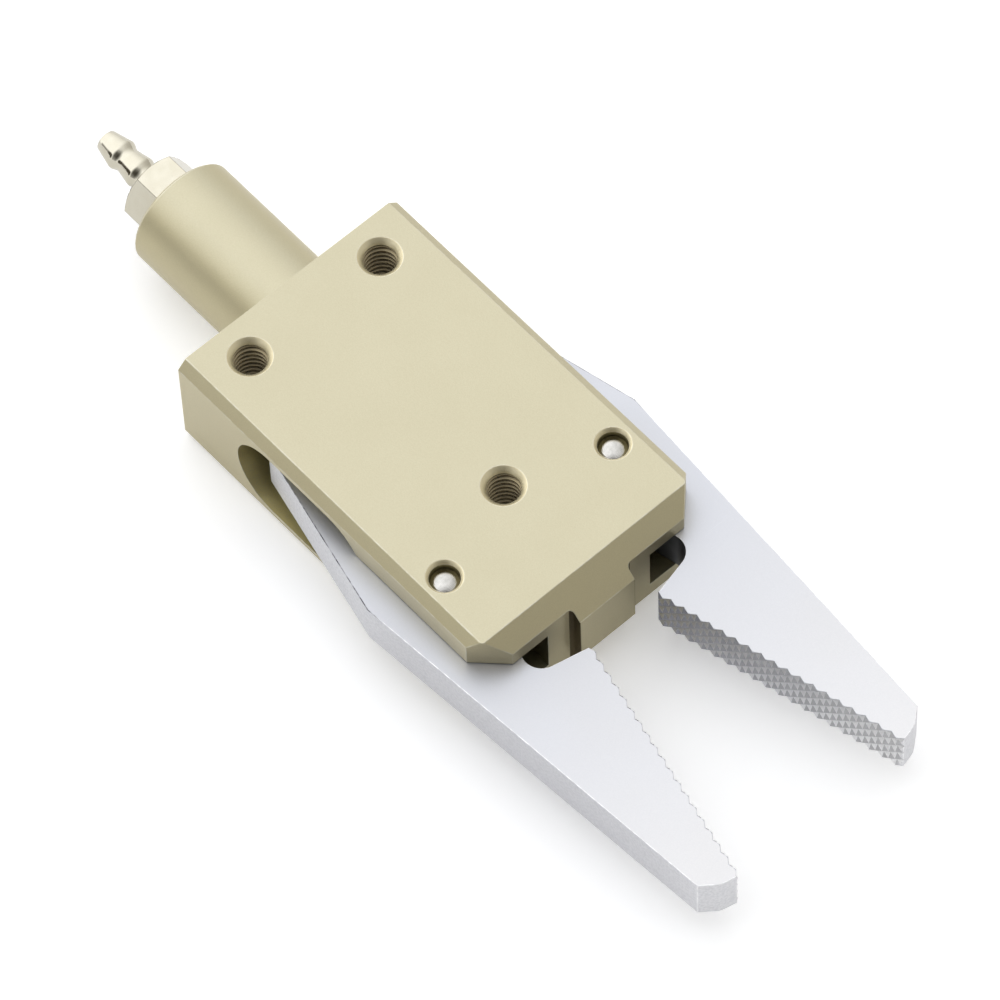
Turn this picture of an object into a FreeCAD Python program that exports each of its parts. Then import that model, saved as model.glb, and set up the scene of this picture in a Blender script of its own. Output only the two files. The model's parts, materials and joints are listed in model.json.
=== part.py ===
import FreeCAD, Part
import Sketcher
import math
import os
from types import SimpleNamespace

# Pneumatic mini gripper, single acting: air drives a wedge forward between two pivoted jaws.
# X points forward to the jaw tips, Y to the left jaw, Z up.
# The origin is on the shank's axis at the rear face of the block. All sizes are in millimetres.

DRIVING_SIZES = [
    # Block and shank, machined from one bar
    ("block_width", 28.0, "across the two sides"),
    ("block_height", 13.2, "bottom face to top face"),
    ("plate_thickness", 1.6, "top and bottom plates, at the side window"),
    ("rear_wall", 8.3, "rear face of the block to the side window"),
    ("front_reach", 9.75, "jaw pivots to the front of the plates"),
    ("edge_bevel", 1.0, "bevel on the four long edges"),
    ("nose_width", 7.0, "tab between the jaw roots"),
    ("nose_reach", 1.2, "tab in front of the plates"),
    ("nose_fillet", 0.5, "inner corners beside the tab"),
    ("front_bevel_run", 1.9, "sloping front edge, along X at the plates"),
    ("front_bevel_drop", 2.0, "sloping front edge, along Z at the plates"),
    ("corner_cut", 3.1, "flat across each front corner, seen from above"),
    ("shank_diameter", 12.0, "clamping shank"),
    ("shank_length", 16.5, "rear face of the block to the end of the shank"),
    ("shank_bevel", 0.3, "bevel at the end of the shank"),
    ("window_back", 8.25, "jaw pivots back to the front end of the side window"),
    ("web_inset", 4.2, "jaw pivots in to the wall between the two jaw slots"),
    # Tapped holes in the block
    ("tapped_bore", 3.3, "bore of the mounting threads"),
    ("tapped_bevel", 0.6, "countersunk mouth of the mounting threads"),
    ("rear_hole_x", 4.05, "rear pair of mounting holes"),
    ("rear_hole_inset", 5.7, "rear pair of mounting holes, in from the sides"),
    ("front_hole_back", 3.6, "jaw pivots back to the single front mounting hole"),
    # Jaws, drawn with their gripping faces parallel to X and the pivot at the origin
    ("pivot_inset", 3.3, "jaw pivots, in from the sides of the block"),
    ("open_angle", 12.9, "each jaw at rest, turned out from parallel"),
    ("closing_angle", 14.4, "each jaw from open to fully closed"),
    ("jaw_thickness", 5.4, "flat bar of each jaw"),
    ("jaw_side_gap", 0.1, "jaw to the slot, above and below"),
    ("heel_back", 6.55, "cam nose to the end of the tail"),
    ("back_edge", 7.1, "pivot to the straight outer edge"),
    ("shoulder_reach", 2.45, "pivot back to where the outer edge starts to taper"),
    ("grip_length", 27.9, "gripping face"),
    ("tip_width", 4.05, "tip, from the gripping face to its outer corner"),
    ("tip_land", 2.1, "square part of the tip's end, beside the gripping face"),
    ("tip_slope", 0.95, "end of the tip back to its outer corner"),
    ("tip_radius", 2.2, "soft bend in the end of the tip"),
    ("grip_gap", 2.5, "between the two gripping faces when they are parallel"),
    ("tooth_count", 19, "diamond teeth along the gripping face"),
    ("tooth_rows", 4, "rows of diamond teeth over the jaw's thickness"),
    ("tooth_depth", 0.4, "grooves between the diamond teeth"),
    ("grip_bevel", 0.12, "bevels along the top and bottom of the gripping face"),
    ("grip_end_bevel", 0.35, "bevels at both ends of the gripping face"),
    ("root_gap", 0.5, "gripping bar to the tab of the block, jaws parallel"),
    ("root_radius", 2.0, "inside corner behind the gripping bar"),
    ("neck_offset", 3.1, "pivot in to the straight inner edge"),
    ("web_gap", 0.4, "open jaw to the wall between the slots"),
    ("arm_back", 1.6, "front end of the window back to the open jaw's cam arm"),
    ("cam_reach", 14.675, "open jaw, pivot back to the centre of the cam nose"),
    ("cam_open_y", 2.21, "open jaw, centre line out to the centre of the cam nose"),
    ("cam_radius", 1.2, "rounded cam nose that runs on the wedge"),
    ("heel_width", 7.0, "end of the tail"),
    ("tail_radius", 0.6, "rounded corners of the tail"),
    # Pivot pins
    ("pin_diameter", 3.0, "pivot pins"),
    ("pin_recess", 0.55, "pin ends below the plates' faces"),
    ("pin_dome", 0.5, "height of the rounded pin ends"),
    ("press_gap", 0.02, "pressed pieces to their holes, each side"),
    ("pin_running_gap", 0.03, "pin to jaw, each side"),
    ("pin_bevel", 0.33, "bevelled mouth of the pin holes"),
    # Cylinder in the shank
    ("cylinder_wall", 1.5, "wall of the shank round the piston"),
    ("bore_gap", 0.03, "sliding pieces to the bore, each side"),
    ("plug_head", 2.0, "end plug behind its ring groove"),
    ("plug_groove_front", 1.0, "front of the plug to its ring groove"),
    ("port_bore", 4.2, "bore of the port thread in the plug"),
    ("bumper_gap", 0.3, "stop ring to the bore, each side"),
    ("nut_gap", 0.2, "stop ring to the corners and the end of the piston nut"),
    ("end_land", 0.8, "each end of the piston to its nearest groove"),
    ("middle_land", 0.3, "piston between its two grooves"),
    ("ring_section", 1.2, "section of the seals"),
    ("groove_side", 0.15, "grooves wider than the seals, each side"),
    ("groove_gap", 0.05, "lip seal to the sides of its groove, and every ring to its groove's floor"),
    ("seal_gap", 0.05, "seals to the bore, each side"),
    ("lip_thickness", 0.35, "each lip of the piston seal"),
    ("lip_depth", 0.7, "notch between the lips"),
    ("guide_ring_width", 1.2, "split guide ring on the piston"),
    ("guide_ring_depth", 0.5, "thickness of the guide ring"),
    ("guide_ring_gap", 0.5, "slit in the guide ring"),
    ("nut_flats", 5.0, "piston nut across flats"),
    ("nut_height", 1.6, "piston nut"),
    # Rod, bush and wedge
    ("rod_diameter", 4.0, "piston rod"),
    ("rod_spigot", 2.5, "end of the rod through piston and nut"),
    ("rod_spigot_out", 0.2, "spigot beyond the nut"),
    ("rod_gap", 0.03, "rod to its bush, each side"),
    ("rod_in_wedge", 2.0, "depth of the rod in the wedge"),
    ("bush_diameter", 6.0, "guide bush"),
    ("collar_gap", 0.2, "collar of the bush to the bore, each side"),
    ("collar_thickness", 1.0, "collar of the bush, seat of the return spring"),
    ("wedge_room", 0.38, "round rear end of the side window to the corners of the wedge"),
    ("wedge_angle", 30.0, "each flank of the wedge from the axis"),
    ("wedge_margin", 0.21, "flank of the wedge beyond the cam nose of the closed jaw"),
    ("wedge_block_length", 2.6, "rear block of the wedge"),
    ("wedge_inset", 0.1, "wedge, thinner than the jaws above and below"),
    ("wedge_tip_half_width", 0.8, "flat end of the wedge, from the axis"),
    ("cam_gap", 0.16, "cam nose to wedge at rest"),
    ("cross_pin_diameter", 1.2, "pin through wedge and rod"),
    # Springs
    ("return_wire", 0.5, "wire of the return spring"),
    ("return_room", 7.7, "piston to the collar of the bush, jaws open"),
    ("return_turns", 3.5, "return spring"),
    ("opening_reach", 4.25, "jaw pivots forward to the opening spring, across the wall between the slots"),
    ("opening_bore_gap", 0.225, "opening spring to its cross bore, each side"),
    ("opening_seat_gap", 0.675, "opening spring to its round seats in the jaws, each side"),
    ("opening_pocket", 2.2, "depth of those seats"),
    ("opening_wire", 0.35, "wire of the opening spring"),
    ("opening_mean", 2.1, "opening spring, middle of the wire"),
    ("opening_turns", 8.0, "opening spring"),
    ("spring_end_gap", 0.05, "springs to their seats"),
    # Hose fitting
    ("washer_thickness", 0.6, "seal under the fitting, let into the plug"),
    ("washer_diameter", 6.0, "seal under the fitting"),
    ("washer_gap", 0.05, "seal to its recess and to the stud, each side"),
    ("hex_flats", 7.0, "fitting across flats"),
    ("hex_length", 4.0, "hexagon of the fitting"),
    ("hex_bevel", 0.35, "rounded-off corners of the hexagon"),
    ("stud_length", 3.6, "threaded end of the fitting in the plug"),
    ("hose_bore", 1.6, "air way of the fitting"),
    ("barb_diameter", 3.5, "barbs of the fitting"),
    ("barb_neck", 2.75, "fitting between the barbs"),
    ("barb_tip", 2.4, "end of the fitting"),
    ("barb_pitch", 2.8, "barb to barb"),
    ("barb_tip_length", 2.35, "crest of the first barb to the end of the fitting"),
    ("barb_neck_length", 1.95, "hexagon to the crest of the second barb"),
    ("barb_back", 0.8, "sloping side of each barb towards the hexagon"),
    ("barb_round", 0.7, "rounded crests of the barbs"),
    ("thread_gap", 0.02, "threaded pieces to their bores, each side"),
]


class Size:
    """A number together with the sheet expression that it comes from."""

    def __init__(self, value, text):
        self.value = value
        self.text = text

    def __add__(self, other):
        other = as_size(other)
        return Size(self.value + other.value, f"({self.text} + {other.text})")

    def __sub__(self, other):
        other = as_size(other)
        return Size(self.value - other.value, f"({self.text} - {other.text})")

    def __mul__(self, other):
        other = as_size(other)
        return Size(self.value * other.value, f"({self.text} * {other.text})")

    def __truediv__(self, other):
        other = as_size(other)
        return Size(self.value / other.value, f"({self.text} / {other.text})")

    def __neg__(self):
        return Size(-self.value, f"(0 - {self.text})")


def as_size(number):
    if isinstance(number, Size):
        return number
    return Size(float(number), repr(float(number)))


def sine(angle):
    return Size(math.sin(math.radians(angle.value)), f"sin({angle.text} * 1 deg)")


def cosine(angle):
    return Size(math.cos(math.radians(angle.value)), f"cos({angle.text} * 1 deg)")


def tangent(angle):
    return Size(math.tan(math.radians(angle.value)), f"tan({angle.text} * 1 deg)")


def arctangent(ratio):
    return Size(math.degrees(math.atan(ratio.value)), f"(atan({ratio.text}) / 1 deg)")


def rounded_up(number):
    return Size(math.ceil(number.value), f"ceil({number.text})")


def square_root(number):
    return Size(math.sqrt(number.value), f"sqrt({number.text})")


def turned(x, y, angle):
    """The point (x, y) turned about the origin by an angle."""
    return (x * cosine(angle) - y * sine(angle), x * sine(angle) + y * cosine(angle))


doc = FreeCAD.newDocument("mini_gripper")
sheet = doc.addObject("Spreadsheet::Sheet", "Sizes")
for row, (alias, number, note) in enumerate(DRIVING_SIZES, start=1):
    sheet.set(f"A{row}", note)
    sheet.set(f"B{row}", str(number))
    sheet.setAlias(f"B{row}", alias)
doc.recompute()
s = SimpleNamespace(**{alias: Size(number, f"Sizes.{alias}") for alias, number, note in DRIVING_SIZES})

ZERO = as_size(0)
WIRE_FLATS = 6
parts = []


# Drawing helpers

def new_body(label):
    body = doc.addObject("PartDesign::Body", label)
    body.Label = label
    parts.append(body)
    return body


def plane_of(body, role):
    return next(item for item in body.Origin.OriginFeatures if item.Role == role)


def new_sketch(body, role, name, offset=None):
    """A sketch on one of the body's own planes, moved along its normal by an offset."""
    sketch = body.newObject("Sketcher::SketchObject", f"{body.Label}_{name}")
    sketch.AttachmentSupport = [(plane_of(body, role), "")]
    sketch.MapMode = "FlatFace"
    if offset is not None:
        sketch.setExpression(".AttachmentOffset.Base.z", offset.text)
    return sketch


def tie(sketch, kind, *where, size):
    """A dimension of the sketch that follows the sheet."""
    index = sketch.addConstraint(Sketcher.Constraint(kind, *where, size.value))
    sketch.setExpression(f"Constraints[{index}]", size.text)


def tie_point(sketch, geometry, end, x, y):
    for kind, axis, size in (("DistanceX", -2, x), ("DistanceY", -1, y)):
        if size is ZERO:
            sketch.addConstraint(Sketcher.Constraint("PointOnObject", geometry, end, axis))
        else:
            tie(sketch, kind, -1, 1, geometry, end, size=size)


def vector(x, y):
    return FreeCAD.Vector(x.value, y.value, 0)


def draw_outline(sketch, corners):
    """A closed chain of straight lines through corners that follow the sheet."""
    lines = []
    for start, end in zip(corners, corners[1:] + corners[:1]):
        lines.append(sketch.addGeometry(Part.LineSegment(vector(*start), vector(*end)), False))
    for line, following in zip(lines, lines[1:] + lines[:1]):
        sketch.addConstraint(Sketcher.Constraint("Coincident", line, 2, following, 1))
    for line, corner in zip(lines, corners):
        tie_point(sketch, line, 1, *corner)


def draw_circle(sketch, x, y, diameter):
    circle = Part.Circle(vector(x, y), FreeCAD.Vector(0, 0, 1), diameter.value / 2)
    index = sketch.addGeometry(circle, False)
    tie_point(sketch, index, 3, x, y)
    tie(sketch, "Diameter", index, size=diameter)


def draw_obround(sketch, rear, front, height):
    """A slot with round ends along the sketch's X axis, from end to end."""
    radius = height / 2
    normal = FreeCAD.Vector(0, 0, 1)
    quarter = math.pi / 2
    low, high = rear + radius, front - radius
    rear_circle = Part.Circle(vector(low, ZERO), normal, radius.value)
    front_circle = Part.Circle(vector(high, ZERO), normal, radius.value)
    rear_arc = sketch.addGeometry(Part.ArcOfCircle(rear_circle, quarter, 3 * quarter), False)
    front_arc = sketch.addGeometry(Part.ArcOfCircle(front_circle, -quarter, quarter), False)
    roof = sketch.addGeometry(Part.LineSegment(vector(low, radius), vector(high, radius)), False)
    floor = sketch.addGeometry(Part.LineSegment(vector(low, -radius), vector(high, -radius)), False)
    meetings = [
        (rear_arc, 1, roof, 1), (rear_arc, 2, floor, 1), (front_arc, 2, roof, 2), (front_arc, 1, floor, 2)]
    for arc, arc_end, line, line_end in meetings:
        sketch.addConstraint(Sketcher.Constraint("Tangent", arc, arc_end, line, line_end))
    sketch.addConstraint(Sketcher.Constraint("Equal", rear_arc, front_arc))
    tie_point(sketch, rear_arc, 3, low, ZERO)
    tie_point(sketch, front_arc, 3, high, ZERO)
    tie(sketch, "Radius", rear_arc, size=radius)


def set_extent(feature, sketch, length, both_ways, backwards):
    feature.Profile = sketch
    feature.Reversed = backwards
    if both_ways:
        feature.SideType = "Symmetric"
    if length is None:
        feature.Type = "ThroughAll"
    else:
        feature.setExpression("Length", length.text)


def pad(body, sketch, length, both_ways=False, backwards=False):
    feature = body.newObject("PartDesign::Pad", f"{sketch.Name}_pad")
    set_extent(feature, sketch, length, both_ways, backwards)
    doc.recompute()
    return feature


def pocket(body, sketch, length=None, both_ways=False, backwards=False):
    """A cut, checked to take material away."""
    before = body.Shape.Volume
    feature = body.newObject("PartDesign::Pocket", f"{sketch.Name}_pocket")
    set_extent(feature, sketch, length, both_ways, backwards)
    doc.recompute()
    if not feature.Shape.Volume < before - 1e-6:
        raise RuntimeError(f"{feature.Name} cuts nothing")
    return feature


def revolve(body, corners, name="profile"):
    """A turned piece: (x, radius) corners swept round the X axis."""
    sketch = new_sketch(body, "XY_Plane", name)
    draw_outline(sketch, corners)
    feature = body.newObject("PartDesign::Revolution", f"{sketch.Name}_turned")
    feature.Profile = sketch
    feature.ReferenceAxis = (sketch, ["H_Axis"])
    feature.Angle = 360
    doc.recompute()
    return feature


def edges_where(feature, test):
    """Names of the feature's edges whose ends and middle all pass a test."""
    names = []
    for number, edge in enumerate(feature.Shape.Edges, start=1):
        middle = edge.valueAt((edge.FirstParameter + edge.LastParameter) / 2)
        if all(test(point) for point in [vertex.Point for vertex in edge.Vertexes] + [middle]):
            names.append(f"Edge{number}")
    return names


def near(value, size):
    return abs(value - size.value) < 1e-4


def upright_edges(feature, x, y):
    """Edges along Z that stand over a point (x, y)."""
    return edges_where(feature, lambda point: near(point.x, x) and near(point.y, y))


def fillet(body, feature, edges, radius):
    rounded = body.newObject("PartDesign::Fillet", f"{feature.Name}_fillet")
    rounded.Base = (feature, edges)
    rounded.setExpression("Radius", radius.text)
    doc.recompute()
    return rounded


def chamfer(body, feature, edges, size):
    bevelled = body.newObject("PartDesign::Chamfer", f"{feature.Name}_bevel")
    bevelled.Base = (feature, edges)
    bevelled.setExpression("Size", size.text)
    doc.recompute()
    return bevelled


def round_seal(label, x, outer_radius):
    """A ring of round section about the X axis, at its fitted size."""
    ring = doc.addObject("Part::Torus", label)
    ring.Label = label
    ring.setExpression("Radius1", (outer_radius - s.ring_section / 2).text)
    ring.setExpression("Radius2", (s.ring_section / 2).text)
    ring.Placement = FreeCAD.Placement(FreeCAD.Vector(), FreeCAD.Rotation(FreeCAD.Vector(0, 1, 0), 90))
    ring.setExpression("Placement.Base.x", x.text)
    parts.append(ring)


def coil_spring(label, wire, mean, turns, length, start, axis):
    """A helical spring between two seats, its wire swept along the coil."""
    pitch = (length - wire) / turns
    helix = doc.addObject("Part::Helix", f"{label}_path")
    helix.setExpression("Pitch", pitch.text)
    helix.setExpression("Height", (length - wire).text)
    helix.setExpression("Radius", (mean / 2).text)
    section = doc.addObject("Part::RegularPolygon", f"{label}_wire")
    section.Polygon = WIRE_FLATS
    section.setExpression("Circumradius", (wire / 2).text)
    section.Placement = FreeCAD.Placement(FreeCAD.Vector(), FreeCAD.Rotation(FreeCAD.Vector(1, 0, 0), 90))
    section.setExpression("Placement.Base.x", (mean / 2).text)
    coil = doc.addObject("Part::Sweep", label)
    coil.Label = label
    coil.Sections = [section]
    coil.Spine = (helix, [])
    coil.Solid = True
    coil.Frenet = True
    coil.Placement = FreeCAD.Placement(FreeCAD.Vector(), FreeCAD.Rotation(FreeCAD.Vector(0, 0, 1), axis))
    for letter, place in zip("xyz", start):
        coil.setExpression(f"Placement.Base.{letter}", place.text)
    parts.append(coil)


# Sizes and places that several pieces share

top = s.block_height / 2
side = s.block_width / 2
window_height = s.block_height - s.plate_thickness * 2
slot_height = s.jaw_thickness + s.jaw_side_gap * 2
wedge_height = s.jaw_thickness - s.wedge_inset * 2
pivot_y = side - s.pivot_inset
web_half_width = pivot_y - s.web_inset
grip_offset = pivot_y - s.grip_gap / 2
root_reach = s.front_reach + s.nose_reach + s.root_gap
tip_reach = root_reach + s.grip_length
opening_outside = s.opening_mean + s.opening_wire

# Along the cylinder, from the end of the shank forward
shank_end = -s.shank_length
cylinder_bore = s.shank_diameter - s.cylinder_wall * 2
bore_radius = cylinder_bore / 2
groove_width = s.ring_section + s.groove_side * 2
groove_floor = bore_radius - s.seal_gap - s.ring_section - s.groove_gap
plug_groove_middle = shank_end + s.plug_head + groove_width / 2
plug_front = plug_groove_middle + groove_width / 2 + s.plug_groove_front
piston_rear = plug_front + s.nut_gap + s.rod_spigot_out + s.nut_height
seal_groove_middle = piston_rear + s.end_land + groove_width / 2
guide_back = seal_groove_middle + groove_width / 2 + s.middle_land
guide_front = guide_back + s.guide_ring_width
piston_front = guide_front + s.end_land
spring_seat = piston_front + s.return_room
cylinder_end = spring_seat + s.collar_thickness

# The cam nose as seen from its pivot, on the open jaw, on the jaw as drawn and on the closed jaw
cam_open = (-s.cam_reach, s.cam_open_y - pivot_y)
cam = turned(*cam_open, -s.open_angle)
cam_closed = turned(*cam, s.open_angle - s.closing_angle)

# The wedge, whose flanks reach past the closed jaws' cam noses and just clear those of the open jaws
slope = tangent(s.wedge_angle)
wedge_half_width = pivot_y + cam_closed[1] - s.cam_radius * cosine(s.wedge_angle) + s.wedge_margin
window_radius = window_height / 2
wedge_corner = square_root(window_radius * window_radius - wedge_height * wedge_height / 4)
wedge_rear = s.rear_wall + window_radius - wedge_corner + s.wedge_room
wedge_shoulder = wedge_rear + s.wedge_block_length
wedge_point = wedge_shoulder + wedge_half_width / slope
wedge_tip = wedge_point - s.wedge_tip_half_width / slope
rod_end = wedge_rear + s.rod_in_wedge
cross_pin_x = wedge_rear + s.rod_in_wedge / 2
flank_offset = (s.cam_radius + s.cam_gap) / cosine(s.wedge_angle)

# The jaws pivot where their cam noses meet the wedge, and the front of the block follows them
pivot_x = wedge_point - (s.cam_open_y - flank_offset) / slope + s.cam_reach
window_front = pivot_x - s.window_back
opening_x = pivot_x + s.opening_reach
block_length = pivot_x + s.front_reach
nose_front = block_length + s.nose_reach


def make_gripper_body():
    body = new_body("gripper_body")
    section = new_sketch(body, "YZ_Plane", "section")
    flat_y, flat_z = side - s.edge_bevel, top - s.edge_bevel
    draw_outline(section, [
        (flat_y, top), (side, flat_z), (side, -flat_z), (flat_y, -top),
        (-flat_y, -top), (-side, -flat_z), (-side, flat_z), (-flat_y, top)])
    pad(body, section, nose_front)

    front_bevels = new_sketch(body, "XZ_Plane", "front_bevels")
    start = block_length - s.front_bevel_run
    reach = nose_front - start
    drop = reach * s.front_bevel_drop / s.front_bevel_run
    for sign in (1, -1):
        draw_outline(front_bevels, [
            (start, top * sign), (nose_front, (top - drop) * sign), (nose_front, top * sign)])
    pocket(body, front_bevels, both_ways=True)

    tab = new_sketch(body, "XY_Plane", "tab")
    for sign in (1, -1):
        draw_outline(tab, [
            (nose_front, s.nose_width / 2 * sign),
            (block_length, s.nose_width / 2 * sign),
            (block_length, (side - s.corner_cut) * sign),
            (block_length - s.corner_cut, side * sign),
            (nose_front, side * sign)])
    cut = pocket(body, tab, both_ways=True)
    corners = [name for sign in (1, -1) for name in edges_where(
        cut, lambda point: near(point.x, block_length) and near(point.y, s.nose_width / 2 * sign))]
    fillet(body, cut, corners, s.nose_fillet)

    shank = new_sketch(body, "YZ_Plane", "shank")
    draw_circle(shank, ZERO, ZERO, s.shank_diameter)
    stem = pad(body, shank, s.shank_length, backwards=True)
    chamfer(body, stem, edges_where(stem, lambda point: near(point.x, shank_end)), s.shank_bevel)

    window = new_sketch(body, "XZ_Plane", "window")
    draw_obround(window, s.rear_wall, window_front, window_height)
    pocket(body, window, both_ways=True)

    slots = new_sketch(body, "XY_Plane", "slots")
    slot_rear = window_front - window_height / 2
    for sign in (1, -1):
        draw_outline(slots, [
            (slot_rear, web_half_width * sign), (nose_front, web_half_width * sign),
            (nose_front, side * sign), (slot_rear, side * sign)])
    pocket(body, slots, slot_height, both_ways=True)

    bore = new_sketch(body, "YZ_Plane", "bore", shank_end)
    draw_circle(bore, ZERO, ZERO, cylinder_bore)
    pocket(body, bore, cylinder_end - shank_end, backwards=True)
    bush_seat = new_sketch(body, "YZ_Plane", "bush_seat", cylinder_end)
    draw_circle(bush_seat, ZERO, ZERO, s.bush_diameter + s.press_gap * 2)
    pocket(body, bush_seat, s.rear_wall + window_height / 2 - cylinder_end, backwards=True)

    cross_bore = new_sketch(body, "XZ_Plane", "cross_bore")
    draw_circle(cross_bore, opening_x, ZERO, opening_outside + s.opening_bore_gap * 2)
    pocket(body, cross_bore, web_half_width * 2, both_ways=True)

    rear_hole_y = side - s.rear_hole_inset
    holes = [
        ("tapped", s.tapped_bore, s.tapped_bevel, [
            (s.rear_hole_x, rear_hole_y), (s.rear_hole_x, -rear_hole_y),
            (pivot_x - s.front_hole_back, ZERO)]),
        ("pivot", s.pin_diameter + s.press_gap * 2, s.pin_bevel, [
            (pivot_x, pivot_y), (pivot_x, -pivot_y)])]
    for name, diameter, bevel, places in holes:
        drilled = new_sketch(body, "XY_Plane", name)
        for place in places:
            draw_circle(drilled, *place, diameter)
        cut = pocket(body, drilled, both_ways=True)
        rims = edges_where(cut, lambda point: near(abs(point.z), top) and any(
            near(math.dist((point.x, point.y), (x.value, y.value)), diameter / 2) for x, y in places))
        chamfer(body, cut, rims, bevel)


def make_rear_plug():
    plug = new_body("rear_plug")
    port = s.port_bore / 2
    groove_back = plug_groove_middle - groove_width / 2
    groove_front = plug_groove_middle + groove_width / 2
    body_radius = bore_radius - s.bore_gap
    recess_floor = shank_end + s.washer_thickness
    recess = s.washer_diameter / 2 + s.washer_gap
    revolve(plug, [
        (recess_floor, port), (recess_floor, recess), (shank_end, recess), (shank_end, body_radius),
        (groove_back, body_radius), (groove_back, groove_floor), (groove_front, groove_floor),
        (groove_front, body_radius), (plug_front, body_radius), (plug_front, port)])
    round_seal("rear_plug_o_ring", plug_groove_middle, bore_radius - s.seal_gap)


def draw_hexagon(sketch, flats):
    """A hexagon about the sketch's origin with two level flats."""
    half = flats / 2
    corner = half / cosine(as_size(30))
    draw_outline(sketch, [
        (corner, ZERO), (corner / 2, half), (-corner / 2, half),
        (-corner, ZERO), (-corner / 2, -half), (corner / 2, -half)])


def make_barb_fitting():
    fitting = new_body("barb_fitting")
    air_way, neck, barb = s.hose_bore / 2, s.barb_neck / 2, s.barb_diameter / 2
    stud = s.port_bore / 2 - s.thread_gap
    stud_end = shank_end + s.stud_length
    hex_rear = shank_end - s.hex_length
    second_barb = hex_rear - s.barb_neck_length
    first_barb = second_barb - s.barb_pitch
    hose_end = first_barb - s.barb_tip_length
    turned_stem = revolve(fitting, [
        (stud_end, air_way), (stud_end, stud), (hex_rear, stud), (hex_rear, neck),
        (second_barb + s.barb_back, neck), (second_barb, barb),
        (first_barb + s.barb_back, neck), (first_barb, barb),
        (hose_end, s.barb_tip / 2), (hose_end, air_way)])
    crests = edges_where(turned_stem, lambda point: near(math.hypot(point.y, point.z), barb))
    fillet(fitting, turned_stem, crests, s.barb_round)
    hexagon = new_sketch(fitting, "YZ_Plane", "hexagon", hex_rear)
    draw_hexagon(hexagon, s.hex_flats)
    draw_circle(hexagon, ZERO, ZERO, s.hose_bore)
    pad(fitting, hexagon, s.hex_length)
    corners = new_sketch(fitting, "XY_Plane", "hex_corners")
    across_corners = s.hex_flats / cosine(as_size(30)) / 2
    draw_outline(corners, [
        (hex_rear, s.hex_flats / 2), (hex_rear, across_corners), (hex_rear + s.hex_bevel, across_corners)])
    groove = fitting.newObject("PartDesign::Groove", "barb_fitting_hex_bevel")
    groove.Profile = corners
    groove.ReferenceAxis = (corners, ["H_Axis"])
    groove.Angle = 360
    doc.recompute()

    washer = new_body("fitting_seal_washer")
    inner, outer = s.port_bore / 2 + s.washer_gap, s.washer_diameter / 2
    seat = shank_end + s.washer_thickness
    revolve(washer, [(shank_end, inner), (shank_end, outer), (seat, outer), (seat, inner)])


def make_piston():
    piston = new_body("piston")
    slide_radius = bore_radius - s.bore_gap
    groove_back = seal_groove_middle - groove_width / 2
    groove_front = seal_groove_middle + groove_width / 2
    guide_floor = slide_radius - s.guide_ring_depth
    revolve(piston, [
        (piston_rear, s.rod_spigot / 2), (piston_rear, slide_radius), (groove_back, slide_radius),
        (groove_back, groove_floor), (groove_front, groove_floor), (groove_front, slide_radius),
        (guide_back, slide_radius), (guide_back, guide_floor), (guide_front, guide_floor),
        (guide_front, slide_radius), (piston_front, slide_radius), (piston_front, s.rod_spigot / 2)])

    seal = new_body("piston_seal")
    lip_end, heel = groove_back + s.groove_gap, groove_front - s.groove_gap
    inner, outer = groove_floor + s.groove_gap, bore_radius - s.seal_gap
    revolve(seal, [
        (lip_end, inner), (heel, inner), (heel, outer - s.seal_gap), (lip_end, outer),
        (lip_end, outer - s.lip_thickness), (lip_end + s.lip_depth, (inner + outer) / 2),
        (lip_end, inner + s.lip_thickness)])

    ring = new_body("piston_guide_ring")
    ring_floor = guide_floor + s.groove_gap
    revolve(ring, [
        (guide_back, ring_floor), (guide_back, outer), (guide_front, outer), (guide_front, ring_floor)])
    slit = new_sketch(ring, "YZ_Plane", "slit", guide_back)
    draw_outline(slit, [
        (s.guide_ring_gap / 2, ZERO), (s.guide_ring_gap / 2, bore_radius),
        (-s.guide_ring_gap / 2, bore_radius), (-s.guide_ring_gap / 2, ZERO)])
    pocket(ring, slit, s.guide_ring_width, backwards=True)

    nut = new_body("piston_nut")
    flats = new_sketch(nut, "YZ_Plane", "flats", piston_rear)
    draw_hexagon(flats, s.nut_flats)
    draw_circle(flats, ZERO, ZERO, s.rod_spigot)
    pad(nut, flats, s.nut_height, backwards=True)

    bumper = new_body("piston_bumper")
    clear_of_nut = s.nut_flats / cosine(as_size(30)) / 2 + s.nut_gap
    bumper_radius = bore_radius - s.bumper_gap
    revolve(bumper, [
        (plug_front, clear_of_nut), (plug_front, bumper_radius),
        (piston_rear, bumper_radius), (piston_rear, clear_of_nut)])


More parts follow.
